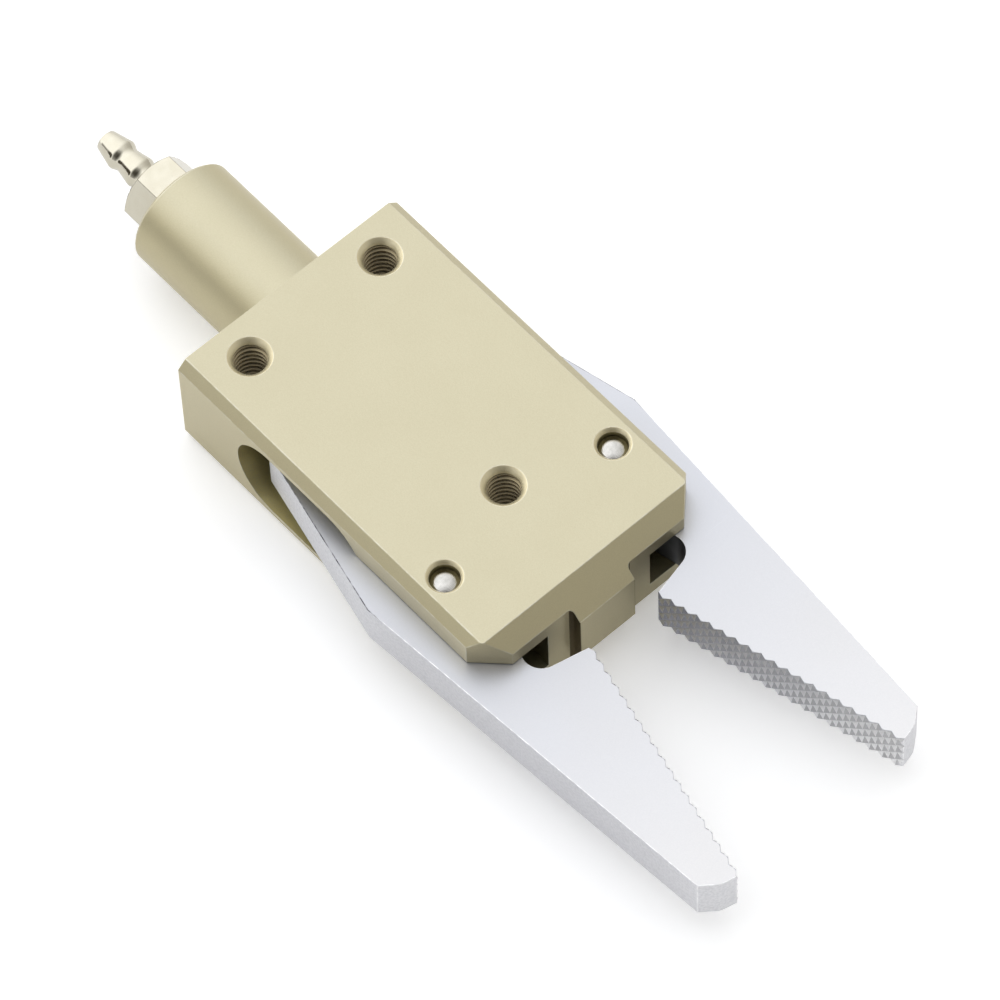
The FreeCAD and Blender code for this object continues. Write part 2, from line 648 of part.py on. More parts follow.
def make_rod_and_wedge():
    rod = new_body("piston_rod")
    spigot_end = piston_rear - s.nut_height - s.rod_spigot_out
    revolve(rod, [
        (spigot_end, ZERO), (spigot_end, s.rod_spigot / 2), (piston_front, s.rod_spigot / 2),
        (piston_front, s.rod_diameter / 2), (rod_end, s.rod_diameter / 2), (rod_end, ZERO)])
    pin_hole = new_sketch(rod, "XY_Plane", "pin_hole")
    draw_circle(pin_hole, cross_pin_x, ZERO, s.cross_pin_diameter + s.press_gap * 2)
    pocket(rod, pin_hole, both_ways=True)

    bush = new_body("rod_guide_bush")
    inner = s.rod_diameter / 2 + s.rod_gap
    collar = bore_radius - s.collar_gap
    revolve(bush, [
        (spring_seat, inner), (spring_seat, collar), (cylinder_end, collar),
        (cylinder_end, s.bush_diameter / 2), (s.rear_wall, s.bush_diameter / 2), (s.rear_wall, inner)])

    wedge = new_body("wedge_nose")
    outline = new_sketch(wedge, "XY_Plane", "outline")
    draw_outline(outline, [
        (wedge_rear, -wedge_half_width), (wedge_shoulder, -wedge_half_width),
        (wedge_tip, -s.wedge_tip_half_width), (wedge_tip, s.wedge_tip_half_width),
        (wedge_shoulder, wedge_half_width), (wedge_rear, wedge_half_width)])
    pad(wedge, outline, wedge_height, both_ways=True)
    socket = new_sketch(wedge, "YZ_Plane", "socket", wedge_rear)
    draw_circle(socket, ZERO, ZERO, s.rod_diameter + s.press_gap * 2)
    pocket(wedge, socket, s.rod_in_wedge, backwards=True)
    pin_hole = new_sketch(wedge, "XY_Plane", "pin_hole")
    draw_circle(pin_hole, cross_pin_x, ZERO, s.cross_pin_diameter + s.press_gap * 2)
    pocket(wedge, pin_hole, both_ways=True)

    pin = new_body("wedge_cross_pin")
    section = new_sketch(pin, "XY_Plane", "section")
    draw_circle(section, cross_pin_x, ZERO, s.cross_pin_diameter)
    pad(pin, section, wedge_height, both_ways=True)


def touch_angle(corner, centre, radius, turn):
    """The angle on a circle where the line from a corner touches it; turn picks the side."""
    dx, dy = corner[0].value - centre[0].value, corner[1].value - centre[1].value
    return math.atan2(dy, dx) + turn * math.acos(radius.value / math.hypot(dx, dy))


def draw_jaw(sketch, sign):
    """The jaw seen from above; sign is 1 for the left jaw and -1 for its mirror image."""
    arm_x, arm_y = turned(
        window_front - s.arm_back - pivot_x, web_half_width + s.web_gap - pivot_y, -s.open_angle)
    neck_x = arm_x + (s.neck_offset + arm_y) / tangent(s.open_angle)
    tail_end = cam[0] - s.heel_back
    corners = [
        (arm_x, arm_y), (neck_x, -s.neck_offset), (root_reach, -s.neck_offset),
        (root_reach, -grip_offset), (tip_reach, -grip_offset),
        (tip_reach, s.tip_land - grip_offset), (tip_reach - s.tip_slope, s.tip_width - grip_offset),
        (-s.shoulder_reach, s.back_edge),
        (tail_end, s.back_edge), (tail_end, s.back_edge - s.heel_width)]
    angles = [touch_angle(corners[-1], cam, s.cam_radius, 1), touch_angle(corners[0], cam, s.cam_radius, -1)]
    touches = [FreeCAD.Vector(
        cam[0].value + s.cam_radius.value * math.cos(angle),
        (cam[1].value + s.cam_radius.value * math.sin(angle)) * sign, 0) for angle in angles]

    mirrored = [(x, y * sign) for x, y in corners]
    lines = []
    for start, end in zip(mirrored, mirrored[1:]):
        lines.append(sketch.addGeometry(Part.LineSegment(vector(*start), vector(*end)), False))
    lines.append(sketch.addGeometry(Part.LineSegment(vector(*mirrored[-1]), touches[0]), False))
    for line, following in zip(lines, lines[1:]):
        sketch.addConstraint(Sketcher.Constraint("Coincident", line, 2, following, 1))
    for line, corner in zip(lines, mirrored):
        tie_point(sketch, line, 1, *corner)

    circle = Part.Circle(vector(cam[0], cam[1] * sign), FreeCAD.Vector(0, 0, 1), s.cam_radius.value)
    first, last = (angles[0], angles[1]) if sign > 0 else (-angles[1], -angles[0])
    nose = sketch.addGeometry(Part.ArcOfCircle(circle, first, last), False)
    flank = sketch.addGeometry(Part.LineSegment(touches[1], vector(*mirrored[0])), False)
    nose_start, nose_end = (1, 2) if sign > 0 else (2, 1)
    sketch.addConstraint(Sketcher.Constraint("Tangent", lines[-1], 2, nose, nose_start))
    sketch.addConstraint(Sketcher.Constraint("Tangent", nose, nose_end, flank, 1))
    sketch.addConstraint(Sketcher.Constraint("Coincident", flank, 2, lines[0], 1))
    tie_point(sketch, nose, 3, cam[0], cam[1] * sign)
    tie(sketch, "Radius", nose, size=s.cam_radius)


def cut_diamonds(jaw, sign):
    """Two crossing sets of V grooves that leave rows of small pyramids on the gripping face."""
    pitch = s.grip_length / s.tooth_count
    slant = arctangent(s.tooth_rows * pitch / s.jaw_thickness)
    spacing = pitch * cosine(slant)
    spare = rounded_up(s.tooth_rows / 2) - 1
    first = (root_reach - spare * pitch) * cosine(slant)
    bottom, mouth = (s.tooth_depth - grip_offset) * sign, (-s.tooth_depth - grip_offset) * sign
    for name, lean in (("rising", 1), ("falling", -1)):
        groove = new_sketch(jaw, "XY_Plane", f"{name}_groove")
        groove.AttachmentOffset = FreeCAD.Placement(
            FreeCAD.Vector(), FreeCAD.Rotation(FreeCAD.Vector(0, lean, 0), slant.value))
        groove.setExpression("AttachmentOffset.Rotation.Angle", slant.text)
        draw_outline(groove, [(first, bottom), (first - spacing, mouth), (first + spacing, mouth)])
        cut = pocket(jaw, groove, both_ways=True)
        row = jaw.newObject("PartDesign::LinearPattern", f"{jaw.Label}_{name}_grooves")
        row.Originals = [cut]
        row.Direction = (groove, ["H_Axis"])
        row.setExpression("Length", (spacing * (s.tooth_count + spare * 2)).text)
        row.setExpression("Occurrences", (s.tooth_count + spare * 2 + 1).text)
        jaw.Tip = row
        doc.recompute()


def make_jaw(label, sign):
    jaw = new_body(label)
    outline = new_sketch(jaw, "XY_Plane", "outline")
    draw_jaw(outline, sign)
    shape = pad(jaw, outline, s.jaw_thickness, both_ways=True)
    rounded_corners = [
        (tip_reach, s.tip_land - grip_offset, s.tip_radius),
        (root_reach, -s.neck_offset, s.root_radius),
        (cam[0] - s.heel_back, s.back_edge, s.tail_radius),
        (cam[0] - s.heel_back, s.back_edge - s.heel_width, s.tail_radius)]
    for x, y, radius in rounded_corners:
        shape = fillet(jaw, shape, upright_edges(shape, x, y * sign), radius)
    for x in (root_reach, tip_reach):
        shape = chamfer(jaw, shape, upright_edges(shape, x, -grip_offset * sign), s.grip_end_bevel)
    rims = [name for z in (s.jaw_thickness / 2, -s.jaw_thickness / 2) for name in edges_where(
        shape, lambda point: near(point.z, z) and near(point.y, -grip_offset * sign))]
    chamfer(jaw, shape, rims, s.grip_bevel)

    eye = new_sketch(jaw, "XY_Plane", "eye")
    draw_circle(eye, ZERO, ZERO, s.pin_diameter + s.pin_running_gap * 2)
    pocket(jaw, eye, both_ways=True)

    seat = new_sketch(jaw, "XZ_Plane", "spring_seat", (s.opening_pocket - s.neck_offset) * -sign)
    draw_circle(seat, s.opening_reach, ZERO, opening_outside + s.opening_seat_gap * 2)
    pocket(jaw, seat, s.opening_pocket, backwards=sign > 0)
    cut_diamonds(jaw, sign)

    jaw.Placement = FreeCAD.Placement(FreeCAD.Vector(), FreeCAD.Rotation(FreeCAD.Vector(0, 0, sign), 1))
    jaw.setExpression("Placement.Base.x", pivot_x.text)
    jaw.setExpression("Placement.Base.y", (pivot_y * sign).text)
    jaw.setExpression("Placement.Rotation.Angle", s.open_angle.text)


def make_pivot_pin(label, sign):
    """A plain pin with domed ends, turned about X and stood upright at its pivot."""
    pin = new_body(label)
    half = top - s.pin_recess
    shoulder = half - s.pin_dome
    radius = s.pin_diameter / 2
    dome_radius = (radius * radius / s.pin_dome + s.pin_dome) / 2
    sketch = new_sketch(pin, "XY_Plane", "profile")
    axis = sketch.addGeometry(Part.LineSegment(vector(-half, ZERO), vector(half, ZERO)), False)
    wall = sketch.addGeometry(Part.LineSegment(vector(shoulder, radius), vector(-shoulder, radius)), False)
    spread = math.asin(radius.value / dome_radius.value)
    for end, line_end in ((1, 2), (-1, 1)):
        centre = (half - dome_radius) * end
        circle = Part.Circle(vector(centre, ZERO), FreeCAD.Vector(0, 0, 1), dome_radius.value)
        start, stop = (0, spread) if end > 0 else (math.pi - spread, math.pi)
        dome = sketch.addGeometry(Part.ArcOfCircle(circle, start, stop), False)
        crown, rim = (1, 2) if end > 0 else (2, 1)
        sketch.addConstraint(Sketcher.Constraint("Coincident", dome, crown, axis, line_end))
        sketch.addConstraint(Sketcher.Constraint("Coincident", dome, rim, wall, 3 - line_end))
        sketch.addConstraint(Sketcher.Constraint("PointOnObject", dome, 3, -1))
        tie_point(sketch, axis, line_end, half * end, ZERO)
        tie_point(sketch, wall, 3 - line_end, shoulder * end, radius)
    turned_pin = pin.newObject("PartDesign::Revolution", f"{label}_turned")
    turned_pin.Profile = sketch
    turned_pin.ReferenceAxis = (sketch, ["H_Axis"])
    turned_pin.Angle = 360
    pin.Placement = FreeCAD.Placement(
        FreeCAD.Vector(), FreeCAD.Rotation(FreeCAD.Vector(1, 0, 0), FreeCAD.Vector(0, 0, 1)))
    pin.setExpression("Placement.Base.x", pivot_x.text)
    pin.setExpression("Placement.Base.y", (pivot_y * sign).text)
    doc.recompute()


def make_springs():
    back = piston_front + s.spring_end_gap
    front = spring_seat - s.spring_end_gap
    return_mean = (s.rod_diameter + cylinder_bore) / 2
    coil_spring(
        "return_spring", s.return_wire, return_mean, s.return_turns, front - back,
        (back + s.return_wire / 2, ZERO, ZERO), FreeCAD.Vector(1, 0, 0))

    seat = turned(s.opening_reach, s.opening_pocket - s.neck_offset, s.open_angle)
    tilt = opening_outside / 2 * tangent(s.open_angle)
    reach = pivot_y + seat[1] - tilt - s.spring_end_gap
    coil_spring(
        "opening_spring", s.opening_wire, s.opening_mean, s.opening_turns, reach * 2,
        (opening_x, s.opening_wire / 2 - reach, ZERO), FreeCAD.Vector(0, 1, 0))


def write_parts():
    """Write one file for each piece, once every object has been found sound."""
    doc.recompute()
    failed = [item.Name for item in doc.Objects if "Invalid" in item.State or "Error" in item.State]
    failed += [piece.Label for piece in parts if piece.Shape.isNull() or not piece.Shape.isValid()]
    if failed:
        raise RuntimeError(f"not sound: {failed}")
    os.makedirs("parts", exist_ok=True)
    for piece in parts:
        piece.Shape.exportStep(f"parts/{piece.Label}.step")
        box = piece.Shape.BoundBox
        print(f"{piece.Label:22s} solids {len(piece.Shape.Solids)} volume {piece.Shape.Volume:9.2f} "
              f"x {box.XMin:7.2f} {box.XMax:7.2f} y {box.YMin:7.2f} {box.YMax:7.2f} "
              f"z {box.ZMin:6.2f} {box.ZMax:6.2f}")


make_gripper_body()
make_rear_plug()
make_barb_fitting()
make_piston()
make_rod_and_wedge()
for hand, sign in (("left", 1), ("right", -1)):
    make_jaw(f"jaw_{hand}", sign)
    make_pivot_pin(f"pivot_pin_{hand}", sign)
make_springs()
write_parts()
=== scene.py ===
import json
import math

import bmesh
import bpy
from mathutils import Matrix, Quaternion, Vector


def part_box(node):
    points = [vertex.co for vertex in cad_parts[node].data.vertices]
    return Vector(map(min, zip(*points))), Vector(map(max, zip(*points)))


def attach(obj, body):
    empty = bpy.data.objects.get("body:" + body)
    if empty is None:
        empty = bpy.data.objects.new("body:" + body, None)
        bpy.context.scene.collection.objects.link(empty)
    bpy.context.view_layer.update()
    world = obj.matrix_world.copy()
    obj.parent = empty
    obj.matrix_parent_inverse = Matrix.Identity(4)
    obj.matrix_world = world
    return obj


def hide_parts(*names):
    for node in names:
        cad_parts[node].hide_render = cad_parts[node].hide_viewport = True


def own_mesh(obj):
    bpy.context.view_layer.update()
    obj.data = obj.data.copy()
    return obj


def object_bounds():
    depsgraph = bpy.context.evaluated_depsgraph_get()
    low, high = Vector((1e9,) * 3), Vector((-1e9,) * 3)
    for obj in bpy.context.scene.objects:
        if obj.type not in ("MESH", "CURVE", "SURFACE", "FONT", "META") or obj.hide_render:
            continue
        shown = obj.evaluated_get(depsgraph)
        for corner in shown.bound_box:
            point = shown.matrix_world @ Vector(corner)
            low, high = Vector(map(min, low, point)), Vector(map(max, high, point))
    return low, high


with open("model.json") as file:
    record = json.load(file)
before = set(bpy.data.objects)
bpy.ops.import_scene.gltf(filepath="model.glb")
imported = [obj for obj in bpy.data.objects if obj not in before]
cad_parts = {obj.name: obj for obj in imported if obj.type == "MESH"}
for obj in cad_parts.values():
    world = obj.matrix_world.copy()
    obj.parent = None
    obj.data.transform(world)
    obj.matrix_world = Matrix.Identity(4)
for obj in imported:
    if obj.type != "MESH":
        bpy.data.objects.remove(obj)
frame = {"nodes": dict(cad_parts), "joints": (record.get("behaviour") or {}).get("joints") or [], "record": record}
cad_low, cad_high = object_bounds()

MM = 0.001
JOINTS = {joint["name"]: joint for joint in frame["joints"]}
BODY_OF = {
    node: body
    for body, members in frame["record"]["behaviour"]["bodies"].items()
    for node in members
}

# Working limits
JOIN_DISTANCE = 0.001 * MM
FLAT_ANGLE = math.radians(0.3)
EDGE_ANGLE = math.radians(24)
SHARP_ANGLE = math.radians(38)
EDGE_STEPS = 2
FLAT_FACE_WEIGHT = 60

# Widths of the broken edges: fitting, plug and wedge share one, and rod and bush another
BLOCK_EDGE = 0.07 * MM
JAW_EDGE = 0.08 * MM
TOOTH_EDGE = 0.07 * MM
PART_EDGE = 0.05 * MM
FINE_EDGE = 0.04 * MM
PIN_EDGE = 0.03 * MM

# How level a face lies, by the upright part of its normal: 1 is level and 0 is upright
LEVEL = 0.999
TOOTH_STEEPEST = 0.02
TOOTH_FLATTEST = 0.95
MOUTH_STEEPEST = 0.5
MOUTH_FLATTEST = 0.9
BORE_WALL = 0.2
UPRIGHT = 0.1

# M4 screw threads in the block: at both ends the ridge thins out over part of a turn
THREAD_HOLES = ((4.05 * MM, 8.3 * MM), (4.05 * MM, -8.3 * MM), (31.15 * MM, 0.0))
THREAD_DIAMETER = 4.0 * MM
THREAD_PITCH = 0.7 * MM
THREAD_DEPTH = 0.36 * MM
THREAD_FOOT = 0.52 * MM
THREAD_CREST = 0.22 * MM
THREAD_INSET = 0.6 * MM
THREAD_FADE = 0.8
THREAD_END = 0.05
THREAD_STEPS = 40
# How dark the painted shade on the threaded holes' walls is
THREAD_DARKNESS = 1.0
DRILL_SIDES = 72

# Pivot pin holes in the block
PIN_HOLES = ((34.75 * MM, 10.7 * MM), (34.75 * MM, -10.7 * MM))
PIN_HOLE_DIAMETER = 3.1 * MM
# How dark the painted shade on the pin holes' walls is
PIN_HOLE_DARKNESS = 0.45

# How far a hole's wall and its mouth reach from its axis, as shares of its diameter
WALL_REACH = 0.52
MOUTH_REACH = 0.6

# The block's inside, whose window walls get painted light and whose jaw slot walls get painted shade, and where
# along X the one gives way to the other
PAINTED_INSIDE_LOW = Vector((1.0, 0.0, 0.0)) * MM
PAINTED_INSIDE_HIGH = Vector((44.3, 13.9, 5.0)) * MM
HOLLOW_SHADE_CHANGE = (26.0 * MM, 38.0 * MM)

# The block's outer corners, by their place along Y and the part of their normal along it
OUTER_CORNER = 10.5 * MM
OUTER_CORNER_FACING = 0.3

# The block's front below the bevel, and the corners beside the tab there, both given painted shade
FRONT_LOW = Vector((44.3, 0.0, 0.0)) * MM
FRONT_HIGH = Vector((46.0, 11.0, 4.5)) * MM
FRONT_FACING = 0.97
FRONT_DARKNESS = 0.11
TAB_CORNER_LOW = Vector((44.4, 3.4, 0.0)) * MM
TAB_CORNER_HIGH = Vector((45.9, 4.1, 4.5)) * MM
TAB_CORNER_DARKNESS = 0.95

# Along X on a jaw: the end of its tail, the end of the window beside it, from the block to its tip,
# and the throat where its cut ends and its teeth begin; these bound painted light and shade on the jaw
JAW_TAIL_END = (28.0 * MM, 36.0 * MM)
JAW_WINDOW_END = (31.0 * MM, 33.0 * MM)
JAW_REACH = (40.0 * MM, 74.0 * MM)
JAW_THROAT = 48.2 * MM

# How much a jaw's inner sides face the middle of the block at least, to get painted shade
JAW_INWARD = 0.1

# Springs: wire, mean radius, turns and steps in a turn
RETURN_WIRE = 0.5 * MM
RETURN_RADIUS = 3.25 * MM
RETURN_TURNS = 3.5
RETURN_STEPS = 48
OPENING_WIRE = 0.35 * MM
OPENING_RADIUS = 1.05 * MM
OPENING_TURNS = 8.0
OPENING_STEPS = 36
WIRE_SIDES = 14

# The paper floor: half its width in metres, its grey, and its own light for the camera and in metal
PAPER_HALF = 60.0
PAPER_GREY = 0.90
PAPER_LIFT = 0.30
PAPER_IN_METAL = 0.12

# The studio's shade and what is laid over it in turn, each with its name, the direction that it lies in,
# how near to that direction it begins and is full, and its colour
STUDIO_SHADE = (0.26, 0.25, 0.23)
STUDIO_LAYERS = (
    ("pale wall", (0.0, 1.0, 0.0), -0.3, 0.5, (0.64, 0.63, 0.60)),
    ("wide soft lamp", (-0.694, -0.547, 0.469), -0.613, 0.796, (1.64, 1.66, 1.70)),
    ("dark front", (0.62, -0.62, 0.48), 0.5, 1.0, (0.05, 0.045, 0.035)),
    ("first gap", (-0.388, -0.89, 0.22), 0.945, 0.98, (0.08, 0.07, 0.055)),
    ("second gap", (-0.62, -0.77, 0.16), 0.96, 0.985, (0.08, 0.07, 0.055)),
)

# The range that most of a noise lies in, a narrower one in its middle, and the wave scale that gives
# rings one unit apart
NOISE_RANGE = (0.3, 0.7)
NOISE_MIDDLE = (0.35, 0.65)
RING_SCALE = 0.314

# From leaning to about level, from a jaw's sides to its teeth, and from the teeth's backs to their fronts
LEAN_TO_LEVEL = (0.75, 0.95)
SIDE_TO_TOOTH = (0.25, 0.40)
BACK_TO_FRONT = (0.0, 0.4)

# A Mix node's places for the share of the second colour, the two colours and their mix
MIX_SHARE = 0
MIX_FIRST = 6
MIX_SECOND = 7
MIX_RESULT = 2


def put(tree, socket, source):
    """Joins a socket to another node, or sets it to a plain value."""
    if isinstance(source, bpy.types.NodeSocket):
        tree.links.new(source, socket)
    else:
        socket.default_value = source


def added(tree, kind, sources, **settings):
    """A new node with its settings made and its inputs joined or set."""
    node = tree.nodes.new(kind)
    for setting, value in settings.items():
        setattr(node, setting, value)
    for name, source in sources.items():
        put(tree, node.inputs[name], source)
    return node


def worked_out(tree, kind, *sources):
    """A number that is worked out from others."""
    node = tree.nodes.new("ShaderNodeMath")
    node.operation = kind
    for socket, source in zip(node.inputs, sources):
        put(tree, socket, source)
    return node.outputs["Value"]


def mixed(tree, share, first, second):
    """A mix of two colours, each a plain colour or the result of another mix."""
    node = tree.nodes.new("ShaderNodeMix")
    node.data_type = "RGBA"
    put(tree, node.inputs[MIX_SHARE], share)
    for place, source in ((MIX_FIRST, first), (MIX_SECOND, second)):
        put(tree, node.inputs[place], (*source, 1.0) if isinstance(source, tuple) else source)
    return node.outputs[MIX_RESULT]


class Finish:
    """A surface finish. Its patterns lie still on the piece that wears it."""

    def __init__(self, name, colour, metallic, roughness):
        self.material = bpy.data.materials.new(name)
        self.material.use_nodes = True
        self.tree = self.material.node_tree
        self.surface = self.tree.nodes["Principled BSDF"]
        self.surface.inputs["Base Color"].default_value = (*colour, 1.0)
        self.surface.inputs["Metallic"].default_value = metallic
        self.surface.inputs["Roughness"].default_value = roughness
        coordinates = self.add("ShaderNodeTexCoord", {})
        self.place = coordinates.outputs["Object"]
        self.facing = coordinates.outputs["Normal"]
        self.normal = None

    def add(self, kind, sources, **settings):
        """A new node of this finish."""
        return added(self.tree, kind, sources, **settings)

    def feed(self, name, source):
        """Joins an input of the surface to a pattern, or sets it to a number."""
        put(self.tree, self.surface.inputs[name], source)

    def grain(self, size, detail=2.0, turn=(0.0, 0.0, 0.0), seed=0.0):
        """Noise with features about as wide as size, which may differ along X, Y and Z."""
        sizes = size if isinstance(size, tuple) else (size, size, size)
        mapping = self.add("ShaderNodeMapping", {
            "Vector": self.place, "Rotation": turn, "Scale": [1.0 / side for side in sizes],
        }, vector_type="POINT")
        noise = self.add("ShaderNodeTexNoise", {
            "Vector": mapping.outputs["Vector"], "W": seed, "Scale": 1.0, "Detail": detail,
        }, noise_dimensions="4D")
        return noise.outputs["Fac"]

    def rings(self, axis, spacing, distortion, centre=(0.0, 0.0, 0.0)):
        """Turning rings about a line along an axis, through the centre."""
        mapping = self.add("ShaderNodeMapping", {
            "Vector": self.place, "Location": [-side for side in centre],
        }, vector_type="POINT")
        waves = self.add("ShaderNodeTexWave", {
            "Vector": mapping.outputs["Vector"], "Scale": RING_SCALE / spacing, "Distortion": distortion,
        }, wave_type="RINGS", rings_direction=axis)
        return waves.outputs["Fac"]

    def spread(self, value, low, high, to_low, to_high):
        """Carries the range low to high over to the range to_low to to_high, and stops there."""
        node = self.add("ShaderNodeMapRange", {
            "Value": value, "From Min": low, "From Max": high, "To Min": to_low, "To Max": to_high,
        }, clamp=True)
        return node.outputs["Result"]

    def share(self, value, low, high, most=1.0):
        """Rises from 0 to most while the value goes from low to high."""
        return self.spread(value, low, high, 0.0, most)

    def vary(self, noise, least, most):
        """Carries a noise over to the range least to most."""
        return self.spread(noise, *NOISE_RANGE, least, most)

    def combine(self, kind, *sources):
        """A number that is worked out from others, such as two patterns multiplied."""
        return worked_out(self.tree, kind, *sources)

    def blend(self, share, first, second):
        """The first colour, with a share of the second."""
        return mixed(self.tree, share, first, second)

    def part_of(self, vector, axis):
        """One coordinate of a place or of a direction."""
        return self.add("ShaderNodeSeparateXYZ", {"Vector": vector}).outputs[axis]

    def levelness(self):
        """1 on faces that lie level, 0 on faces that stand upright, and between on those that lean."""
        return self.combine("ABSOLUTE", self.part_of(self.facing, "Z"))

    def level_faces(self):
        """1 on faces that lie about level, 0 on all that lean more."""
        return self.share(self.levelness(), *LEAN_TO_LEVEL)

    def marked(self, mark):
        """The mark that the faces of a piece carry: 0 where there is none."""
        return self.add("ShaderNodeAttribute", {}, attribute_name=mark).outputs["Fac"]

    def relief(self, height, depth):
        """Adds a pattern of that depth to the surface."""
        bump = self.add("ShaderNodeBump", {"Strength": 1.0, "Distance": depth, "Height": height})
        if self.normal is not None:
            put(self.tree, bump.inputs["Normal"], self.normal)
        self.normal = bump.outputs["Normal"]

    def done(self, colour, roughness):
        """Gives the surface its colour, roughness and relief, and hands over the material."""
        self.feed("Base Color", colour)
        self.feed("Roughness", roughness)
        self.feed("Normal", self.normal)
        return self.material

    def done_all_over(self, pattern, ends, tones, depth, roughness):
        """Finishes a surface whose colour, relief and roughness all follow one pattern."""
        self.relief(pattern, depth)
        return self.done(
            self.blend(self.share(pattern, *ends), *tones),
            self.vary(pattern, *roughness),
        )


def champagne_anodising():
    """Blasted and anodised aluminium of the block. Painted shade darkens its bores, the corners beside its tab,
    its front and its jaw slots; its window walls get painted light, its hole mouths a painted highlight, and its
    level faces a paler tint as painted light.
    """
    shaded_side_tint = (0.568, 0.507, 0.316)
    lit_top_tint = (0.563, 0.522, 0.372)
    window_painted_light = (0.640, 0.550, 0.225)
    slot_painted_shade = (0.285, 0.250, 0.120)
    cloud = (0.545, 0.498, 0.340)
    blasted_pit = (0.455, 0.410, 0.265)
    bare_edge = (0.66, 0.63, 0.52)
    mouth_highlight_colour = (0.80, 0.720, 0.49)
    painted_bore_shade = (0.085, 0.062, 0.024)
    clear_coat = 0.5
    coat_ends_at = 0.3

    finish = Finish("champagne_anodising", (0.570, 0.525, 0.370), 1.0, 0.5)
    finish.feed("Coat Roughness", 0.4)
    finish.feed("Coat IOR", 1.6)
    blasting = finish.grain(0.13 * MM, detail=3.0)
    clouds = finish.grain(5.0 * MM, seed=3.0)
    wear = finish.grain(0.9 * MM, detail=3.0, seed=7.0)
    # Where painted shade is marked on the block
    dark = finish.marked("painted_shade")
    slot_shade_share = finish.share(finish.part_of(finish.place, "X"), *HOLLOW_SHADE_CHANGE)
    bare = finish.combine(
        "MULTIPLY", finish.marked("worn_and_highlit_edge"), finish.spread(wear, 0.40, 0.62, 0.15, 0.75),
    )

    # Level faces get a paler tint and the others a more olive one: painted light and shade for how brightly each
    # is lit
    toned = finish.blend(finish.level_faces(), shaded_side_tint, lit_top_tint)
    # Window walls painted lighter as painted light, jaw slot walls darker as painted shade
    hollow_light_and_shade = finish.blend(slot_shade_share, window_painted_light, slot_painted_shade)
    painted_hollows = finish.blend(finish.marked("inside"), toned, hollow_light_and_shade)
    clouded = finish.blend(finish.share(clouds, *NOISE_MIDDLE, 0.12), painted_hollows, cloud)
    speckled = finish.blend(finish.vary(blasting, 0.0, 0.36), clouded, blasted_pit)
    edged = finish.blend(bare, speckled, bare_edge)
    # Hole mouths in a brighter copy of the anodising: a painted highlight
    with_mouth_highlight = finish.blend(finish.marked("painted_mouth_highlight"), edged, mouth_highlight_colour)
    finish.feed("Coat Weight", finish.spread(dark, 0.0, coat_ends_at, clear_coat, 0.0))
    finish.relief(blasting, 0.014 * MM)
    # Painted shade over the marked bores, tab corners and front
    return finish.done(finish.blend(dark, with_mouth_highlight, painted_bore_shade), finish.vary(clouds, 0.49, 0.51))


def cut_thread():
    """Thread ridges in the block: their crests painted lighter as painted light, their flanks darker as painted
    shade.
    """
    dull_crest = (0.70, 0.61, 0.435)
    bright_crest = (0.88, 0.79, 0.585)
    flank_painted_shade = (0.24, 0.192, 0.105)

    finish = Finish("cut_thread", (0.50, 0.44, 0.29), 1.0, 0.42)
    turning = finish.grain((1.5 * MM, 1.5 * MM, 0.05 * MM), seed=23.0)
    crests = finish.blend(finish.vary(turning, 0.0, 1.0), dull_crest, bright_crest)
    finish.relief(turning, 0.006 * MM)
    return finish.done(
        finish.blend(finish.level_faces(), crests, flank_painted_shade),
        finish.vary(turning, 0.38, 0.48),
    )


def plated_flats(finish, along, cast, satin):
    """Colour of the jaws' flat faces: bluish and darker near the block as painted shade, whiter at the tips."""
    painted_shade_by_block = (0.588, 0.596, 0.630)
    by_tip = (0.712, 0.704, 0.706)
    satin_pit = (0.50, 0.51, 0.53)
    shifted = finish.combine("ADD", along, finish.vary(cast, -0.12, 0.12))
    plated = finish.blend(shifted, painted_shade_by_block, by_tip)
    return finish.blend(finish.vary(satin, 0.0, 0.16), plated, satin_pit)


def mottled_sides(finish, length, along, mottle):
    """Colour of the jaws' cut sides: painted paler on the tails and at the tips, as painted light."""
    tail_painted_light = (0.780, 0.780, 0.800)
    arm = (0.715, 0.713, 0.735)
    tip = (0.780, 0.777, 0.795)
    blot = (0.500, 0.503, 0.525)
    rise_to_tip = 5.0
    # Tip ends and tails painted paler as painted light
    forward = finish.blend(finish.combine("POWER", along, rise_to_tip), arm, tip)
    pale = finish.blend(finish.share(length, *JAW_TAIL_END), tail_painted_light, forward)
    return finish.blend(finish.share(mottle, 0.40, 0.64, 0.35), pale, blot)


def cut_teeth(finish, along):
    """Colour of the jaws' teeth: painted light on their backs and painted shade on the faces towards the tip, both
    darker near the block.
    """
    back_lit_by_block = (0.680, 0.690, 0.750)
    back_lit_at_tip = (0.980, 0.978, 0.980)
    front_shaded_by_block = (0.270, 0.275, 0.320)
    front_shaded_at_tip = (0.620, 0.620, 0.630)
    forward = finish.share(finish.part_of(finish.facing, "X"), *BACK_TO_FRONT)
    return finish.blend(
        forward,
        finish.blend(along, back_lit_by_block, back_lit_at_tip),
        finish.blend(along, front_shaded_by_block, front_shaded_at_tip),
    )


